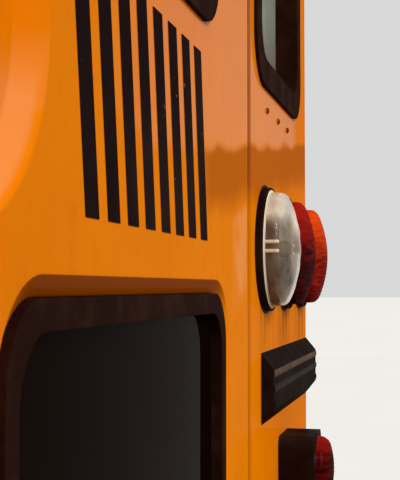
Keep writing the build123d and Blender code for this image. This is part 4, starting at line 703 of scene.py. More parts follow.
def rear_rivets():
    """The three rivets under each corner window, and the rows round the rear wall's panels."""
    old, heads = bmesh.new(), bmesh.new()
    for side in SIDES:
        for y in RIVET_YS:
            rivet(old, (REAR_X, side * y, RIVET_Z), BACK, *OLD_RIVET_SIZE)
        places = [(y, z) for y in spread(*PANEL_ROW_Y, SMALL_RIVET_GAP) for z in PANEL_ROW_ZS]
        for y, z in places + PANEL_ODD_RIVETS:
            rivet(heads, (REAR_X, side * y, z), BACK)
    for y in spread(-1.0, 1.0, 0.09):
        rivet(heads, (REAR_X, y, HEAD_ROW_Z), BACK)
    new_piece("rear_corner_rivets", old, OLD_RIVET)
    new_piece("rear_panel_rivets", heads, PAINT)


# Roof and sides
def roof_section(x, low_z, gap):
    """Points and normals across the body at x, from low on one side over the roof to the other side."""
    found, walked, last = [], gap, None
    middle = Vector((x, 0, 2.1))
    for tenth in range(-900, 901):
        turn = radians(tenth / 10)
        away = Vector((0, sin(turn), cos(turn)))
        hit, normal = meet(SHELL, middle + away * 3, -away)
        if hit is None or hit.z < low_z:
            continue
        if last is not None:
            walked += (hit - last).length
        last = hit
        if walked >= gap:
            found.append((hit, normal))
            walked = 0.0
    return found


def pillars():
    """The x of each pillar between two side windows."""
    return [FIRST_WINDOW_X - 0.035 + WINDOW_PITCH * n for n in range(1, 12)]


def roof_bows():
    """A lapped seam over the roof at each bow, with its rows of rivets."""
    straps, heads = bmesh.new(), bmesh.new()
    section = ((-0.026, -0.001), (-0.024, 0.0016), (0.024, 0.0016), (0.026, -0.001))
    for x in [x for x in pillars() if x <= COWL_X - 0.65]:
        rows = []
        for hit, normal in roof_section(x, ROOF_SEAM_Z + 0.01, 0.05):
            rows.append([straps.verts.new(hit + AHEAD * along + normal * out) for along, out in section])
        bridge(straps, rows, closed=False)
        for hit, normal in roof_section(x, ROOF_SEAM_Z + 0.02, 0.075):
            for shift in (-0.014, 0.014):
                rivet(heads, hit + AHEAD * shift + normal * 0.0014, normal, *BOW_RIVET)
    new_piece("roof_bow_seams", straps, PAINT)
    new_piece("roof_bow_rivets", heads, PAINT)


def side_panels():
    """Lapped seams and rows of rivets down both sides, clear of the entrance, the rails and the wheels."""
    laps, heads = bmesh.new(), bmesh.new()
    for side in SIDES:
        out, first_x, last_x = (0, side, 0), REAR_X + 0.13, SIDE_ROWS_END[side]
        for x in pillars()[1::2]:
            if side < 0 and x > COWL_X - 1.1:
                continue
            low = ARCH_TOP if abs(x - REAR_AXLE_X) < ARCH_HALF + 0.02 else SKIRT_RIVET_Z
            y = side * HALF
            slab(laps, (x - 0.02, y - 0.0012, low), (x + 0.02, y + 0.0012, SILL_Z - 0.03), 0.0006, 1)
            for z in spread(low + 0.02, SILL_Z - 0.05, SMALL_RIVET_GAP):
                if min(abs(z - rail) for rail in RUB_ZS) > RUB_HALF + 0.008:
                    for shift in (-0.011, 0.011):
                        rivet(heads, (x + shift, side * (HALF + 0.001), z), out, *SMALL_RIVET)
        for x in spread(first_x, last_x, RIVET_GAP):
            if side > 0 and BESIDE_DRIVER_X < x < last_x:
                continue
            rivet(heads, (x, side * HALF, SILL_Z - 0.028), out, *SMALL_RIVET)
            if abs(x - REAR_AXLE_X) > ARCH_HALF:
                rivet(heads, (x, side * HALF, SKIRT_RIVET_Z), out, *SMALL_RIVET)
        for x in spread(first_x, COWL_X - 0.62, RIVET_GAP):
            rivet(heads, (x, side * HALF, ROOF_SEAM_Z - 0.03), out, *SMALL_RIVET)
    new_piece("side_panel_laps", laps, PAINT)
    new_piece("side_panel_rivets", heads, PAINT)


def drip_rails():
    """A gutter with a turned-up lip over the windows on each side."""
    bm = bmesh.new()
    for side in SIDES:
        for inner, outer, low, high, edge in ((-0.004, 0.016, -0.014, -0.002, 0.004),
                                              (0.010, 0.018, -0.006, 0.010, 0.003)):
            slab(bm, (REAR_X + 0.12, side * (HALF + inner), ROOF_SEAM_Z + low),
                 (COWL_X - 0.61, side * (HALF + outer), ROOF_SEAM_Z + high), edge)
    new_piece("drip_rails", bm, PAINT)


def rub_rail_bolts():
    """Bolt heads along the rub rails."""
    bolt = [(0.0085, -0.001), (0.0085, 0.002), (0.006, 0.004), (0, 0.0045)]
    bm = bmesh.new()
    rails = tree_of("rub_rails")
    for side in SIDES:
        for z in RUB_ZS:
            for x in spread(REAR_X + 0.2, COWL_X - 0.32, 0.355):
                hit, normal = meet(rails, (x, side * 1.6, z), (0, -side, 0))
                if hit and abs(hit.y) > HALF and abs(normal.y) > 0.9:
                    lathe(bm, hit, (0, side, 0), bolt, 10)
    new_piece("rub_rail_bolts", bm, BLACK)


def marker_lamps():
    """Small lamps along the roof's edges, and round reflectors on the skirts and the rear wall."""
    bases, red, amber = bmesh.new(), bmesh.new(), bmesh.new()
    places, rounds = [], []
    for y, rear_z, front_z in END_MARKERS:
        places.append((meet(SHELL, (REAR_X - 1, y, rear_z), AHEAD), red))
        places.append((meet(SHELL, (COWL_X + 1, y, front_z), BACK), amber))
    for side in SIDES:
        for x, colour in ((REAR_X + 0.45, red), (-0.6, amber), (COWL_X - 0.75, amber)):
            places.append((meet(SHELL, (x, side * 2, SIDE_MARKER_Z), (0, -side, 0)), colour))
        front_x = COWL_X - 0.45 if side > 0 else COWL_X - 1.2
        for x, colour in ((REAR_X + 0.32, red), (0.95, amber), (front_x, amber)):
            rounds.append(((x, side * HALF, ROUND_MARKER_Z), (0, side, 0), colour))
    for (hit, normal), colour in places:
        if hit:
            tab(bases, hit, normal, 0.125, 0.044, 0.008, 0.003)
            tab(colour, hit + normal * 0.006, normal, 0.105, 0.03, 0.016, 0.006)
    rounds += [((REAR_X, side * REFLECTOR_AT[0], REFLECTOR_AT[1]), BACK, red) for side in SIDES]
    for at, facing, colour in rounds:
        lathe(bases, at, facing, MARKER_BASE, 28)
        lathe(colour, at, facing, MARKER_LENS, 28)
    new_piece("marker_bases", bases, PLASTIC)
    new_piece("red_markers", red, RED_REFLECTOR)
    new_piece("amber_markers", amber, AMBER_REFLECTOR)


def blank_boards():
    """The plain boards over the windows at both ends, and the plain number plate at the rear."""
    boards, edges, plates, frames = bmesh.new(), bmesh.new(), bmesh.new(), bmesh.new()
    for start_x, towards in ((REAR_X - 1, AHEAD), (COWL_X + 1, BACK)):
        hit, normal = meet(SHELL, (start_x, 0, BOARD_Z), towards)
        tab(edges, hit, normal, 0.94, 0.168, 0.007, 0.003)
        tab(boards, hit + normal * 0.0055, normal, 0.918, 0.146, 0.004, 0.0015)
    at = Vector(PLATE_AT)
    tab(frames, at, BACK, 0.325, 0.172, 0.008, 0.003)
    tab(plates, at + BACK * 0.007, BACK, 0.302, 0.150, 0.003, 0.001)
    tab(frames, at + BACK * 0.006 + UP * 0.094, BACK, 0.09, 0.026, 0.03, 0.006)
    screw = [(0.006, -0.001), (0.006, 0.002), (0, 0.003)]
    for dy in (-0.11, 0.11):
        for dz in (-0.055, 0.055):
            lathe(frames, at + Vector((-0.011, dy, dz)), BACK, screw, 8)
    new_piece("blank_board_edges", edges, BLACK)
    new_piece("blank_boards", boards, PAINT)
    new_piece("blank_plate", plates, PLATE)
    new_piece("plate_frame", frames, PLASTIC)


# Wheels
def tyre(name, body, node, spans):
    """Tyres with grooved treads, ribs and shoulder lugs, in the CAD tyres' places."""
    axle_x = middle_x(node)
    bm = bmesh.new()
    half, foot = list(SIDEWALL), TYRE_R - GROOVE_DEEP
    for groove in GROOVES:
        half += [(TYRE_R, groove - 0.006), (foot, groove - 0.004),
                 (foot, groove + 0.004), (TYRE_R, groove + 0.006)]
    for low, high in spans:
        wide = high - low
        rings = []
        for radius, height in half + [(r, wide - h) for r, h in reversed(half)] + [TYRE_BEAD]:
            shoulder = radius > 0.49 and (height < SHOULDER or height > wide - SHOULDER)
            rib = radius > 0.505 and not shoulder
            ring = []
            for step, (c, s) in enumerate(circle(TYRE_STEPS, pi / 2 - pi / TYRE_STEPS)):
                cut = SHOULDER_CUT * (shoulder and step % 4 == 0) + RIB_CUT * (rib and step % 8 == 2)
                r = radius - cut
                ring.append(bm.verts.new((axle_x + r * c, low + height, AXLE_Z + r * s)))
            rings.append(ring)
        bridge(bm, rings)
    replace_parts(new_piece(name, bm, TYRE, 28.0, body), node)


def tyres():
    """The single front tyres and the twin rear ones. A twin is as wide as a front tyre."""
    for side in ("left", "right"):
        low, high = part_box(f"front_{side}_tyre")
        tyre(f"front_{side}_tread", f"front_{side}_wheel", f"front_{side}_tyre", [(low.y, high.y)])
        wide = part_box("front_left_tyre")[1].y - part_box("front_left_tyre")[0].y
        low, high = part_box(f"rear_{side}_tyres")
        tyre(f"rear_{side}_treads", f"rear_{side}_wheels", f"rear_{side}_tyres",
             [(low.y, low.y + wide), (high.y - wide, high.y)])


def wheel_nuts():
    """The nuts and stud ends on each wheel."""
    nut = [(0.021, -0.001), (0.021, 0.004), (0.0165, 0.004), (0.0165, 0.021), (0.014, 0.024), (0.010, 0.024),
           (0.010, 0.036), (0.008, 0.038), (0, 0.038)]
    for side, sign in (("left", 1), ("right", -1)):
        for end, x, body, rim in (("front", FRONT_AXLE_X, f"front_{side}_wheel", f"front_{side}_rim"),
                                  ("rear", REAR_AXLE_X, f"rear_{side}_wheels", f"rear_{side}_rims")):
            face = tree_of(rim)
            bm = bmesh.new()
            for c, s in circle(NUTS):
                start = (x + NUT_CIRCLE * c, sign * 1.5, AXLE_Z + NUT_CIRCLE * s)
                hit = meet(face, start, (0, -sign, 0))[0]
                if hit:
                    lathe(bm, hit, (0, sign, 0), nut, 6)
            new_piece(f"{end}_{side}_wheel_nuts", bm, STEEL, 25.0, body)


# Front and sides
def hood_fittings():
    """Headlamp bezels, turn signals and hood catches."""
    hood = tree_of("hood")
    lamp_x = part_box("headlamps")[1].x
    bezel = [(0.086, 0.0), (0.088, 0.008), (0.096, 0.012), (0.108, 0.008), (0.112, 0.0), (0.112, -0.02)]
    bezels, signals, catches = bmesh.new(), bmesh.new(), bmesh.new()
    for side in SIDES:
        lamp_y = side * HEADLAMP_AT[0]
        lathe(bezels, (lamp_x - 0.004, lamp_y, HEADLAMP_AT[1]), AHEAD, bezel, 48)
        hit, normal = meet(hood, (NOSE_X + 1, lamp_y, SIGNAL_Z), BACK)
        if hit:
            tab(bezels, hit, normal, 0.172, 0.062, 0.010, 0.004)
            tab(signals, hit + normal * 0.008, normal, 0.152, 0.044, 0.016, 0.008)
        hit, normal = meet(hood, (COWL_X + 0.075, side * 2, CATCH_Z), (0, -side, 0))
        if hit:
            tab(catches, hit, normal, 0.05, 0.15, 0.012, 0.005)
            tab(catches, hit + normal * 0.008 + UP * 0.055, normal, 0.075, 0.022, 0.02, 0.006)
            tab(catches, hit + normal * 0.008 - UP * 0.055, normal, 0.06, 0.018, 0.012, 0.005)
    new_piece("headlamp_bezels", bezels, STEEL, body="hood")
    new_piece("front_turn_signals", signals, AMBER_REFLECTOR, body="hood")
    new_piece("hood_catches", catches, PLASTIC, body="hood")


def windscreen_fittings():
    """The windscreen's middle strip and the two wipers."""
    screen = tree_of("window_glass", "cab_front", "window_frames")
    strip, wipers = bmesh.new(), bmesh.new()
    points = [meet(screen, (COWL_X + 1, 0, z), BACK)[0] for z in spread(*STRIP_Z, 0.1)]
    section = ((-0.008, -0.019), (0.010, -0.015), (0.010, 0.015), (-0.008, 0.019))
    for one, two in zip(points[:-1], points[1:]):
        prism(strip, [one + Vector((dx, dy, 0)) for dx, dy in section], two - one)
    new_piece("windscreen_strip", strip, GASKET)

    for side in SIDES:
        base, top, low, high = (meet(screen, (COWL_X + 1, side * y, z), BACK)[0]
                                for y, z in WIPER_POINTS)
        if base is None:
            continue
        lathe(wipers, base, AHEAD, [(0.026, -0.01), (0.026, 0.016), (0.018, 0.024), (0, 0.024)], 16)
        rod(wipers, base + AHEAD * 0.018, top + AHEAD * 0.03, 0.006)
        if low and high:
            for offset, radius in ((0.018, 0.006), (0.009, 0.0045)):
                rod(wipers, low + AHEAD * offset, high + AHEAD * offset, radius)
    new_piece("wipers", wipers, PLASTIC)


def mirror_faces():
    """Silvered glass in the two side mirrors' heads, facing back."""
    bm = bmesh.new()
    start_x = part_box("side_mirrors")[0].x + 0.04 - 1
    heads = tree_of("side_mirrors")
    for side in SIDES:
        y = side * MIRROR_Y
        for low, high in MIRROR_GLASSES:
            middle_z, half_z = (low + high) / 2, (high - low) / 2 - 0.014
            hit = meet(heads, (start_x, side * (MIRROR_Y - 0.03), middle_z), AHEAD)[0]
            if hit:
                slab(bm, (hit.x - 0.003, y - MIRROR_HALF, middle_z - half_z),
                     (hit.x + 0.001, y + MIRROR_HALF, middle_z + half_z), 0.0015)
    new_piece("mirror_faces", bm, MIRROR)


def stop_arm_trim():
    """A pale border round the eight-sided blade and a pair of red lamps, with nothing written on it."""
    low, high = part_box("stop_arm")
    blade_x = low.x + BLADE_HALF
    corner = (BLADE_HALF - 0.012) / cos(pi / 8)
    border, lamps, rims = bmesh.new(), bmesh.new(), bmesh.new()
    blade = tree_of("stop_arm")
    for sign in SIDES:
        start_y = (low.y + high.y) / 2 + sign * 0.3
        face = meet(blade, (blade_x, start_y, BLADE_Z + 0.06), (0, -sign, 0))[0]
        rings = []
        for r in (corner, corner - 0.021):
            rings.append([border.verts.new((blade_x + r * c, face.y + sign * 0.0006, BLADE_Z + r * s))
                          for c, s in circle(8, pi / 8)])
        bridge(border, rings)
    for dz in (-0.125, 0.125):  # face is now the blade's outer one
        at, out = (blade_x, face.y, BLADE_Z + dz), (0, 1, 0)
        lathe(rims, at, out, [(0.052, -0.001), (0.052, 0.012), (0.046, 0.014), (0.046, 0.008)], 32)
        lathe(lamps, at, out, [(0.046, 0.0), (0.046, 0.010), (0.034, 0.018), (0.018, 0.022), (0, 0.023)], 32)
    new_piece("stop_arm_border", border, PLATE, body="stop_arm")
    new_piece("stop_arm_lamps", lamps, RED_REFLECTOR, body="stop_arm")
    new_piece("stop_arm_lamp_rims", rims, PLASTIC, body="stop_arm")


def side_doors():
    """The fuel filler's flap on the right, the battery's door on the left, and their hinges and catches."""
    flaps, fittings = bmesh.new(), bmesh.new()
    catch = [(0.016, -0.001), (0.016, 0.004), (0.011, 0.006), (0, 0.006)]
    for side, x, wide in ((-1, 0.3, 0.30), (1, -0.15, 0.62)):
        at = Vector((x, side * HALF, FLAP_Z))
        tab(flaps, at, (0, side, 0), wide, 0.215, 0.0035, 0.0015)
        hinge = at + Vector((0, side * 0.005, 0.112))
        rod(fittings, hinge + BACK * (wide / 2 - 0.02), hinge + AHEAD * (wide / 2 - 0.02), 0.005)
        lathe(fittings, at + Vector((0, side * 0.0025, -0.085)), (0, side, 0), catch, 16)
    new_piece("side_flaps", flaps, PAINT)
    new_piece("side_flap_fittings", fittings, STEEL)


def bumper_bolts():
    """Bolts wherever a bumper's face is set back far enough for their heads."""
    bm = bmesh.new()
    bumpers = tree_of("bumpers")
    bolt = [(0.013, -0.001), (0.013, 0.003), (0.009, 0.0045), (0, 0.005)]
    for start_x, towards in ((NOSE_X + 1, BACK), (LOW.x - 1, AHEAD)):
        for y in BUMPER_BOLT_YS:
            for z in BUMPER_BOLT_ZS:
                hit = meet(bumpers, (start_x, y, z), towards)[0]
                if hit and abs(hit.x) < NOSE_X - 0.004:
                    lathe(bm, hit, -towards, bolt, 12)
    new_piece("bumper_bolts", bm, RUSTY)


# Rear lamps, warning lamps and rub rails
def lens_outline(radius, side, tall):
    """(radius, height) points of a lens: a flange, an upright side, a rounded shoulder and a bulging face."""
    shoulder = [(radius, 0.0), (radius, 0.0025), (radius - 0.0016, 0.004), (radius - 0.0024, side - 0.009),
                (radius - 0.0042, side - 0.004), (radius - 0.0078, side + 0.0004)]
    start_r, start_h = radius - 0.0130, side + 0.0035
    rise = (tall - start_h) / start_r ** 2
    radii = [start_r * (1 - step / 8) for step in range(9)]
    return shoulder + [(r, tall - rise * r ** 2) for r in radii]


def finely(outline, gap):
    """The same line with a point at least every gap."""
    points = [outline[0]]
    for (r1, h1), (r2, h2) in zip(outline[:-1], outline[1:]):
        count = max(1, ceil(hypot(r2 - r1, h2 - h1) / gap))
        points += [(r1 + (r2 - r1) * n / count, h1 + (h2 - h1) * n / count) for n in range(1, count + 1)]
    return points


def ribbed_lens(bm, at, facing, outline, steps, pitch=0.0065):
    """A lens whose level ribs cross its side and face."""
    rings = []
    for index, (radius, height) in enumerate(outline):
        before, after = outline[max(0, index - 1)], outline[min(len(outline) - 1, index + 1)]
        out_r, out_h = after[1] - before[1], before[0] - after[0]
        length = hypot(out_r, out_h) or 1.0
        fade = min(1.0, max(0.0, (height - 0.004) / 0.002))
        ring = []
        for c, s in circle(steps if radius > 1e-6 else 1):
            push = RIB_DEEP * fade * cos(2 * pi * radius * s / pitch)
            r, h = radius + push * out_r / length, height + push * out_h / length
            ring.append(bm.verts.new(Vector(at) + Vector((facing * h, r * c, r * s))))
        rings.append(ring)
    bridge(bm, rings)


def coloured_lenses():
    """The red and amber lenses at both ends, in the CAD lenses' places."""
    rear = finely(lens_outline(LENS_R, LENS_SIDE, LENS_TALL), 0.0026)
    warning = finely(lens_outline(LENS_R, WARNING_SIDE, SHALLOW_TALL), 0.0045)
    low = finely(lens_outline(LOW_R, LOW_LENS_SIDE, SHALLOW_TALL), 0.0032)
    for colour, lamp_y, warning_y, material in (("red", LAMP_YS[1], 0.900, RED_LENS),
                                                ("amber", LAMP_YS[2], 0.640, AMBER_LENS)):
        node = f"{colour}_lenses"
        front_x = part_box(node)[1].x - SHALLOW_TALL
        bm = bmesh.new()
        for side in SIDES:
            ribbed_lens(bm, (REAR_X - RING_THICK, side * lamp_y, LAMP_Z), -1, rear, 240)
            ribbed_lens(bm, (REAR_X - WARNING_DEEP, side * warning_y, WARNING_Z), -1, warning, 120, 0.014)
            ribbed_lens(bm, (front_x, side * warning_y, WARNING_Z), 1, warning, 120, 0.014)
            if colour == "red":
                ribbed_lens(bm, (REAR_X - LOW_DEEP, side * LOW_Y, LOW_Z), -1, low, 160)
        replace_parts(new_piece(f"{colour}_lamp_lenses", bm, material, 60.0), node)


def clear_lamps():
    """The clear lamps: a thin shell over a brown bowl with a bright inside, a bulb and two level ribs."""
    shells, flanges, bowls, mirrors, bulbs = (bmesh.new() for _ in range(5))
    outline = finely(lens_outline(LENS_R, LENS_SIDE, LENS_TALL), 0.006)
    flange = [(0.0905, -0.001), (0.0905, 0.0024), (0.0896, 0.0034), (0.0868, 0.0034), (0.0862, 0.0052),
              (0.0850, 0.0052), (0.0850, 0.001)]
    bowl = [(0.0800, 0.0005), (0.0805, 0.0120), (0.0795, 0.0235), (0.0770, 0.0240)]
    mirror = [(0.0772, 0.0238), (0.0740, 0.0200), (0.0640, 0.0130), (0.0480, 0.0075), (0.0300, 0.0045),
              (0.0170, 0.0035), (0.0165, 0.0010)]
    bulb = [(0.0160, 0.0012), (0.0150, 0.0050), (0.0105, 0.0060), (0.0100, 0.0110), (0.0128, 0.0160),
            (0.0135, 0.0215), (0.0110, 0.0275), (0.0060, 0.0310), (0, 0.0320)]
    for side in SIDES:
        at = Vector((REAR_X - RING_THICK, side * LAMP_YS[0], LAMP_Z))
        ribbed_lens(shells, at, -1, outline[2:], 120, 0.030)
        for bm, profile, steps in ((flanges, flange, 96), (bowls, bowl, 96), (mirrors, mirror, 96),
                                   (bulbs, bulb, 32)):
            lathe(bm, at, BACK, profile, steps)
        for wall in SIDES:
            for level in (0.0085, -0.0050):
                slab(flanges, at + Vector((-0.0250, wall * 0.0800, level - 0.0026)),
                     at + Vector((-0.0035, wall * 0.0852, level + 0.0026)), 0.0012)
    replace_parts(new_piece("clear_lamp_shells", shells, CLEAR_LENS, 60.0), "clear_lenses")
    new_piece("clear_lamp_flanges", flanges, CREAM)
    new_piece("clear_lamp_bowls", bowls, BROWN_PLASTIC)
    new_piece("clear_lamp_reflectors", mirrors, CHROME)
    new_piece("clear_lamp_bulbs", bulbs, BULB)


def lamp_lips():
    """A rounded rubber lip round every rear lamp's lens, and one where each ring meets the wall."""
    bm = bmesh.new()
    lip = [(0.0944, -0.0010), (0.0946, 0.0010), (0.0938, 0.0026), (0.0920, 0.0032), (0.0908, 0.0024),
           (0.0906, -0.0005)]
    foot = [(0.0985, -0.0005), (0.0980, 0.0012), (0.0950, 0.0020), (0.0940, 0.0005)]
    low_lip = [(0.0588, -0.001), (0.0588, 0.0015), (0.0578, 0.0032), (0.0562, 0.0036), (0.0552, 0.0022),
               (0.0550, -0.0005)]
    for side in SIDES:
        for lamp_y in LAMP_YS:
            lathe(bm, (REAR_X - RING_THICK, side * lamp_y, LAMP_Z), BACK, lip, 96)
            lathe(bm, (REAR_X, side * lamp_y, LAMP_Z), BACK, foot, 96)
        lathe(bm, (REAR_X - LOW_DEEP, side * LOW_Y, LOW_Z), BACK, low_lip, 96)
    new_piece("lamp_lips", bm, PLASTIC)


def swept_bead(bm, path, level):
    """A raised bead along a path of (point, outward normal), level above it and sunk a little in."""
    shoulder_up, shoulder_out = BEAD_HALF * 0.72, BEAD_TALL * 0.62
    section = [(-BEAD_HALF, -0.0010), (-shoulder_up, shoulder_out), (0.0, BEAD_TALL),
               (shoulder_up, shoulder_out), (BEAD_HALF, -0.0010)]
    rows = [[bm.verts.new(point + normal * out + UP * (level + up)) for up, out in section]
            for point, normal in path]
    bridge(bm, rows, closed=False)
    for row in (rows[0], rows[-1]):
        bm.faces.new(row)


def rail_runs(rails, side, rail_z):
    """The (first x, last x) of each stretch where a rub rail stands out in full along one side."""
    runs, start, last = [], None, None
    for x in spread(REAR_X, NOSE_X, 0.006):
        hit = meet(rails, (x, side * 2, rail_z), (0, -side, 0))[0]
        if hit and abs(hit.y) > HALF + RAIL_DEEP - 0.001:
            start = x if start is None else start
            last = x
        elif start is not None:
            runs.append((start, last))
            start = None
    return runs


def bead_path(rails, side, rail_z, start, last):
    """A bead's line from its front end back, carried round the rear corner where the rail turns there."""
    out, crown = Vector((0, side, 0)), side * (HALF + RAIL_DEEP)
    path = [(Vector((last - 0.014, crown, rail_z)), out)]
    flat = meet(rails, (REAR_X - 1, side * 0.9, rail_z), AHEAD)[0]
    if start < REAR_X + CORNER_R + 0.02 and flat and flat.x < REAR_X - 0.01:
        middle = Vector((REAR_X + CORNER_R, side * (HALF - CORNER_R), rail_z))
        for step in range(13):
            turn = pi / 2 * step / 12
            away = Vector((-sin(turn), side * cos(turn), 0))
            path.append((middle + away * (CORNER_R + RAIL_DEEP), away))
        path.append((Vector((REAR_X - RAIL_DEEP, side * (RAIL_END_Y + 0.006), rail_z)), BACK))
    else:
        path.append((Vector((start + 0.014, crown, rail_z)), out))
    return path


def rail_beads():
    """Three beads along each rub rail. The upper one is paler, the middle one a little paler than the lower.
    """
    rails = tree_of("rub_rails")
    dusty, middling, lower_beads = bmesh.new(), bmesh.new(), bmesh.new()
    for side in SIDES:
        for rail_z in RUB_ZS:
            for start, last in rail_runs(rails, side, rail_z):
                path = bead_path(rails, side, rail_z, start, last)
                for level, bm in ((BEAD_LEVEL, dusty), (0.0, middling), (-BEAD_LEVEL, lower_beads)):
                    swept_bead(bm, path, level)
    new_piece("rub_rail_upper_beads", dusty, RAIL_BEAD, 50.0)
    new_piece("rub_rail_middle_beads", middling, RAIL_MIDDLE, 50.0)
    new_piece("rub_rail_lower_beads", lower_beads, BLACK, 50.0)


# Seats
def on_face(axis, end, u, v):
    """A grid place on one of a box's faces."""
    place = [u, v]
    place.insert(axis, end)
    return tuple(place)


def pad_grid(size, cells, corner):
    """A box's surface as a grid with rounded edges: the points by grid place, and the faces."""
    lines = []
    for length, count in zip(size, cells):
        inside = [corner + (length - 2 * corner) * n / (count - 2) for n in range(count - 1)]
        lines.append([0.0, *inside, length])
    points = {}
    for i in range(cells[0] + 1):
        for j in range(cells[1] + 1):
            for k in range(cells[2] + 1):
                if i in (0, cells[0]) or j in (0, cells[1]) or k in (0, cells[2]):
                    at = Vector((lines[0][i], lines[1][j], lines[2][k]))
                    inner = Vector([min(max(c, corner), length - corner) for c, length in zip(at, size)])
                    points[i, j, k] = inner + (at - inner).normalized() * corner
    faces = []
    for axis in range(3):
        one, two = [a for a in range(3) if a != axis]
        for end in (0, cells[axis]):
            for u in range(cells[one]):
                for v in range(cells[two]):
                    corners = ((u, v), (u + 1, v), (u + 1, v + 1), (u, v + 1))
                    faces.append([on_face(axis, end, *place) for place in corners])
    return points, faces


def add_pad(bm, points, faces):
    """Puts a pad's points and faces into a mesh, in their order."""
    corners = {key: bm.verts.new(point) for key, point in points.items()}
    for face in faces:
        bm.faces.new([corners[key] for key in face])


def swollen(points, faces, held):
    """The pad blown up as sewn cloth. The held places are its seams. No place moves more than PAD_CAP."""
    bm = bmesh.new()
    add_pad(bm, points, faces)
    bmesh.ops.recalc_face_normals(bm, faces=bm.faces)
    mesh = bpy.data.meshes.new("pad_start")
    bm.to_mesh(mesh)
    bm.free()
    scene = bpy.context.scene
    pad = bpy.data.objects.new("pad_start", mesh)
    scene.collection.objects.link(pad)
    seams = [number for number, key in enumerate(points) if held(*key)]
    pad.vertex_groups.new(name="seams").add(seams, 1.0, "REPLACE")
    cloth = pad.modifiers.new("cloth", "CLOTH")
    cloth.settings.use_pressure = True
    cloth.settings.uniform_pressure_force = PAD_PRESSURE
    cloth.settings.vertex_group_mass = "seams"
    cloth.settings.effector_weights.gravity = 0.0
    for step in range(1, PAD_FRAMES + 1):
        scene.frame_set(step)
    shape = pad.evaluated_get(bpy.context.evaluated_depsgraph_get()).data
    grown = {}
    for (key, point), vertex in zip(points.items(), shape.vertices):
        move = vertex.co - point
        reach = move.length
        if reach > 1e-9:
            move *= PAD_CAP * tanh(reach / PAD_CAP) / reach
        grown[key] = point + move
    bpy.data.objects.remove(pad)
    scene.frame_set(1)
    return grown


def welt(bm, line):
    """A closed run of piping."""
    rows = []
    for n, point in enumerate(line):
        along = (line[(n + 1) % len(line)] - line[n - 1]).normalized()
        one = along.cross(Vector((0.31, 0.17, 0.93))).normalized()
        two = along.cross(one)
        rows.append([bm.verts.new(point + (one * c + two * s) * WELT_R) for c, s in circle(WELT_SIDES)])
    bridge(bm, rows + rows[:1])


def rim_line(points, axis, end, cells):
    """The grid points round one face of a pad, in order."""
    one, two = [cells[a] for a in range(3) if a != axis]
    places = [(u, 0) for u in range(one)] + [(one, v) for v in range(two)]
    places += [(u, two) for u in range(one, 0, -1)] + [(0, v) for v in range(two, 0, -1)]
    return [points[on_face(axis, end, u, v)] for u, v in places]


def bench_forms(width, cells_across, channels):
    """One bench: swollen cushion and back as (points, faces), and the lines of their piping."""
    cells = (12, cells_across, 4)
    points, faces = pad_grid((CUSHION_LONG, width, CUSHION_DEEP), cells, CUSHION_CORNER)

    def cushion_seam(i, j, k):
        return (k in (0, 4) and (i in (0, 12) or j in (0, cells_across))) or (k == 4 and j in channels)

    place = Vector((0.062, SEAT_INSET, 0.006))
    grown = {key: p + place for key, p in swollen(points, faces, cushion_seam).items()}
    forms = [(grown, faces)]
    lines = [rim_line(grown, 2, 4, cells)]

    cells, top_r = (4, cells_across, 19), BACK_TOP_R
    points, faces = pad_grid((BACK_DEEP, width, BACK_TALL), cells, BACK_CORNER)
    for p in points.values():
        side = 1 if p.y > width / 2 else -1
        middle = Vector((width / 2 + side * (width / 2 - top_r), BACK_TALL - top_r))
        a, b = (p.y - middle.x) * side / top_r, (p.z - middle.y) / top_r
        if a > 0 and b > 0:
            shrink = max(a, b) / hypot(a, b)
            p.y, p.z = middle.x + side * a * shrink * top_r, middle.y + b * shrink * top_r

    def back_seam(i, j, k):
        return (i in (0, 4) and (j in (0, cells_across) or k in (0, 19))) or (i == 4 and j in channels)

    grown = swollen(points, faces, back_seam)
    leant = {key: p + Vector((0.009 - (p.z + 0.006) * SEAT_LEAN, SEAT_INSET, 0.006))
             for key, p in grown.items()}
    forms.append((leant, faces))
    lines += [rim_line(leant, 0, end, cells) for end in (0, 4)]
    return forms, lines


def seat_pieces(name, node, forms, lines, feet, turn):
    """One padded piece and its piping: a bench at each foot, mirrored by turn."""
    pads, piping = bmesh.new(), bmesh.new()
    for foot in feet:
        for points, faces in forms:
            add_pad(pads, {key: foot + p * turn for key, p in points.items()}, faces)
        for line in lines:
            welt(piping, [foot + p * turn for p in line])
    piece = new_piece(f"{name}_pads", pads, VINYL, 80.0)
    smooth = piece.modifiers.new("smooth", "SUBSURF")
    smooth.levels = smooth.render_levels = 1
    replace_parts(piece, node)
    new_piece(f"{name}_piping", piping, PIPING, 60.0)


def benches():
    """Both rows of padded benches, in the CAD seats' places."""
    forms, lines = bench_forms(0.944, 25, (8, 17))
    low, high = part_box("left_seats")
    count = round((high.x - low.x) / SEAT_PITCH)
    for name, side in (("left", 1), ("right", -1)):
        feet = [Vector((low.x + SEAT_BACK_OUT + number * SEAT_PITCH, side * low.y, low.z))
                for number in range(count)]
        seat_pieces(f"{name}_bench", f"{name}_seats", forms, lines, feet, Vector((1, side, 1)))


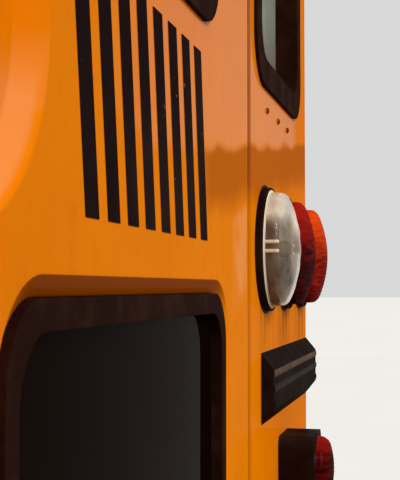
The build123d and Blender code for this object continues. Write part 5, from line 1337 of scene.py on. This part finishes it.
def driver_seat():
    """The driver's seat: padded cushion and back, on a pedestal with a folded boot."""
    low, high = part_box("driver_seat")
    forms, lines = bench_forms(high.y - low.y - 2 * SEAT_INSET, 14, (2, 12))
    foot = Vector((low.x + SEAT_BACK_OUT, low.y, high.z - 0.72))
    seat_pieces("driver_seat", "driver_seat", forms, lines, [foot], Vector((1, 1, 1)))

    stand, folds = bmesh.new(), 6
    middle = Vector((foot.x + 0.25, (low.y + high.y) / 2, 0))
    fold = (foot.z - low.z - 0.036) / folds
    layers = [(0.13, 0.12, low.z, low.z + 0.02, 0.006, 2)]
    for n in range(folds):
        base, half = low.z + 0.018 + fold * n, 0.116 - 0.004 * n
        layers.append((half, half - 0.01, base, base + fold + 0.002, 0.017, 3))
    layers.append((0.125, 0.115, foot.z - 0.022, foot.z + 0.008, 0.005, 2))
    for half_x, half_y, bottom, top, edge, segments in layers:
        slab(stand, middle + Vector((-half_x, -half_y, bottom)), middle + Vector((half_x, half_y, top)),
             edge, segments)
    new_piece("driver_seat_pedestal", stand, PLASTIC)


# Scene
def camera():
    """The photograph's camera."""
    data = bpy.data.cameras.new("camera")
    data.sensor_width = SENSOR
    data.lens = FOCAL_PX * SENSOR / IMAGE_TALL
    data.clip_start = 0.01
    data.clip_end = 500.0
    eye = bpy.data.objects.new("camera", data)
    eye.location = (REAR_X - CAMERA_BACK, CAMERA_Y, CAMERA_Z)
    yaw, pitch = radians(CAMERA_YAW), radians(CAMERA_PITCH)
    ahead = Vector((sin(yaw) * cos(pitch), -cos(yaw) * cos(pitch), sin(pitch)))
    eye.rotation_mode = "QUATERNION"
    eye.rotation_quaternion = ahead.to_track_quat("-Z", "Y")
    bpy.context.scene.collection.objects.link(eye)
    bpy.context.scene.camera = eye


def sun(name, towards, strength, spread_deg, colour):
    """A soft lamp far away. towards is where its light goes."""
    data = bpy.data.lights.new(name, "SUN")
    data.energy = strength
    data.angle = radians(spread_deg)
    data.color = colour
    lamp = bpy.data.objects.new(name, data)
    lamp.rotation_mode = "QUATERNION"
    lamp.rotation_quaternion = Vector(towards).to_track_quat("-Z", "Y")
    bpy.context.scene.collection.objects.link(lamp)


def studio():
    """A pale floor and a soft sky that is dimmer near the horizon, with two soft lamps."""
    bpy.context.scene.view_settings.view_transform = "Standard"
    bm = bmesh.new()
    bmesh.ops.create_circle(bm, cap_ends=True, segments=96, radius=GROUND_R)
    mesh = bpy.data.meshes.new("studio_floor")
    bm.to_mesh(mesh)
    bm.free()
    ground = bpy.data.objects.new("studio_floor", mesh)
    bpy.context.scene.collection.objects.link(ground)
    s = Shader("studio_floor")
    cloud = s.noise(0.35, 3.0)
    dim = s.mix(cloud, (136, 126, 112), (148, 138, 124))
    pale = s.mix(cloud, (222, 220, 216), (229, 227, 224))
    mesh.materials.append(s.done(s.mix(s.background_ray(), dim, pale), 0.9, Specular_IOR_Level=0.1))

    world = bpy.data.worlds.new("studio_world")
    bpy.context.scene.world = world
    world.use_nodes = True
    w = Nodes(world.node_tree)
    up = w.add("SeparateXYZ", {0: w.add("TexCoord", {}).outputs["Generated"]}).outputs["Z"]
    height = w.add("MapRange", {"Value": up, "From Min": -1.0}).outputs[0]
    sky = w.add("ValToRGB", {0: height})
    while len(sky.color_ramp.elements) < len(SKY_STOPS):
        sky.color_ramp.elements.new(0.5)
    for element, (place, level) in zip(sky.color_ramp.elements, SKY_STOPS):
        element.position = place
        element.color = (level, level * 0.985, level * 0.96, 1.0)
    blend = w.add("Mix", {0: w.background_ray(), 6: sky.outputs[0]}, data_type="RGBA")
    blend.inputs[7].default_value = SHOWN_SKY
    background = w.tree.nodes["Background"]
    w.put(background.inputs[0], blend.outputs[2])
    w.put(background.inputs[1], SKY_STRENGTH)
    sun("key_lamp", (0.75, -0.55, -0.6), 2.0, 28.0, (1.0, 0.985, 0.96))
    sun("fill_lamp", (-0.75, 0.5, -0.45), 1.0, 45.0, (0.96, 0.98, 1.0))


for build in (finish_cad_nodes, hazard_marking, rear_rivets, roof_bows, side_panels, drip_rails,
              rub_rail_bolts, marker_lamps, blank_boards, tyres, wheel_nuts, hood_fittings,
              windscreen_fittings, mirror_faces, stop_arm_trim, side_doors, bumper_bolts, coloured_lenses,
              clear_lamps, lamp_lips, rail_beads, benches, driver_seat, studio, camera):
    build()
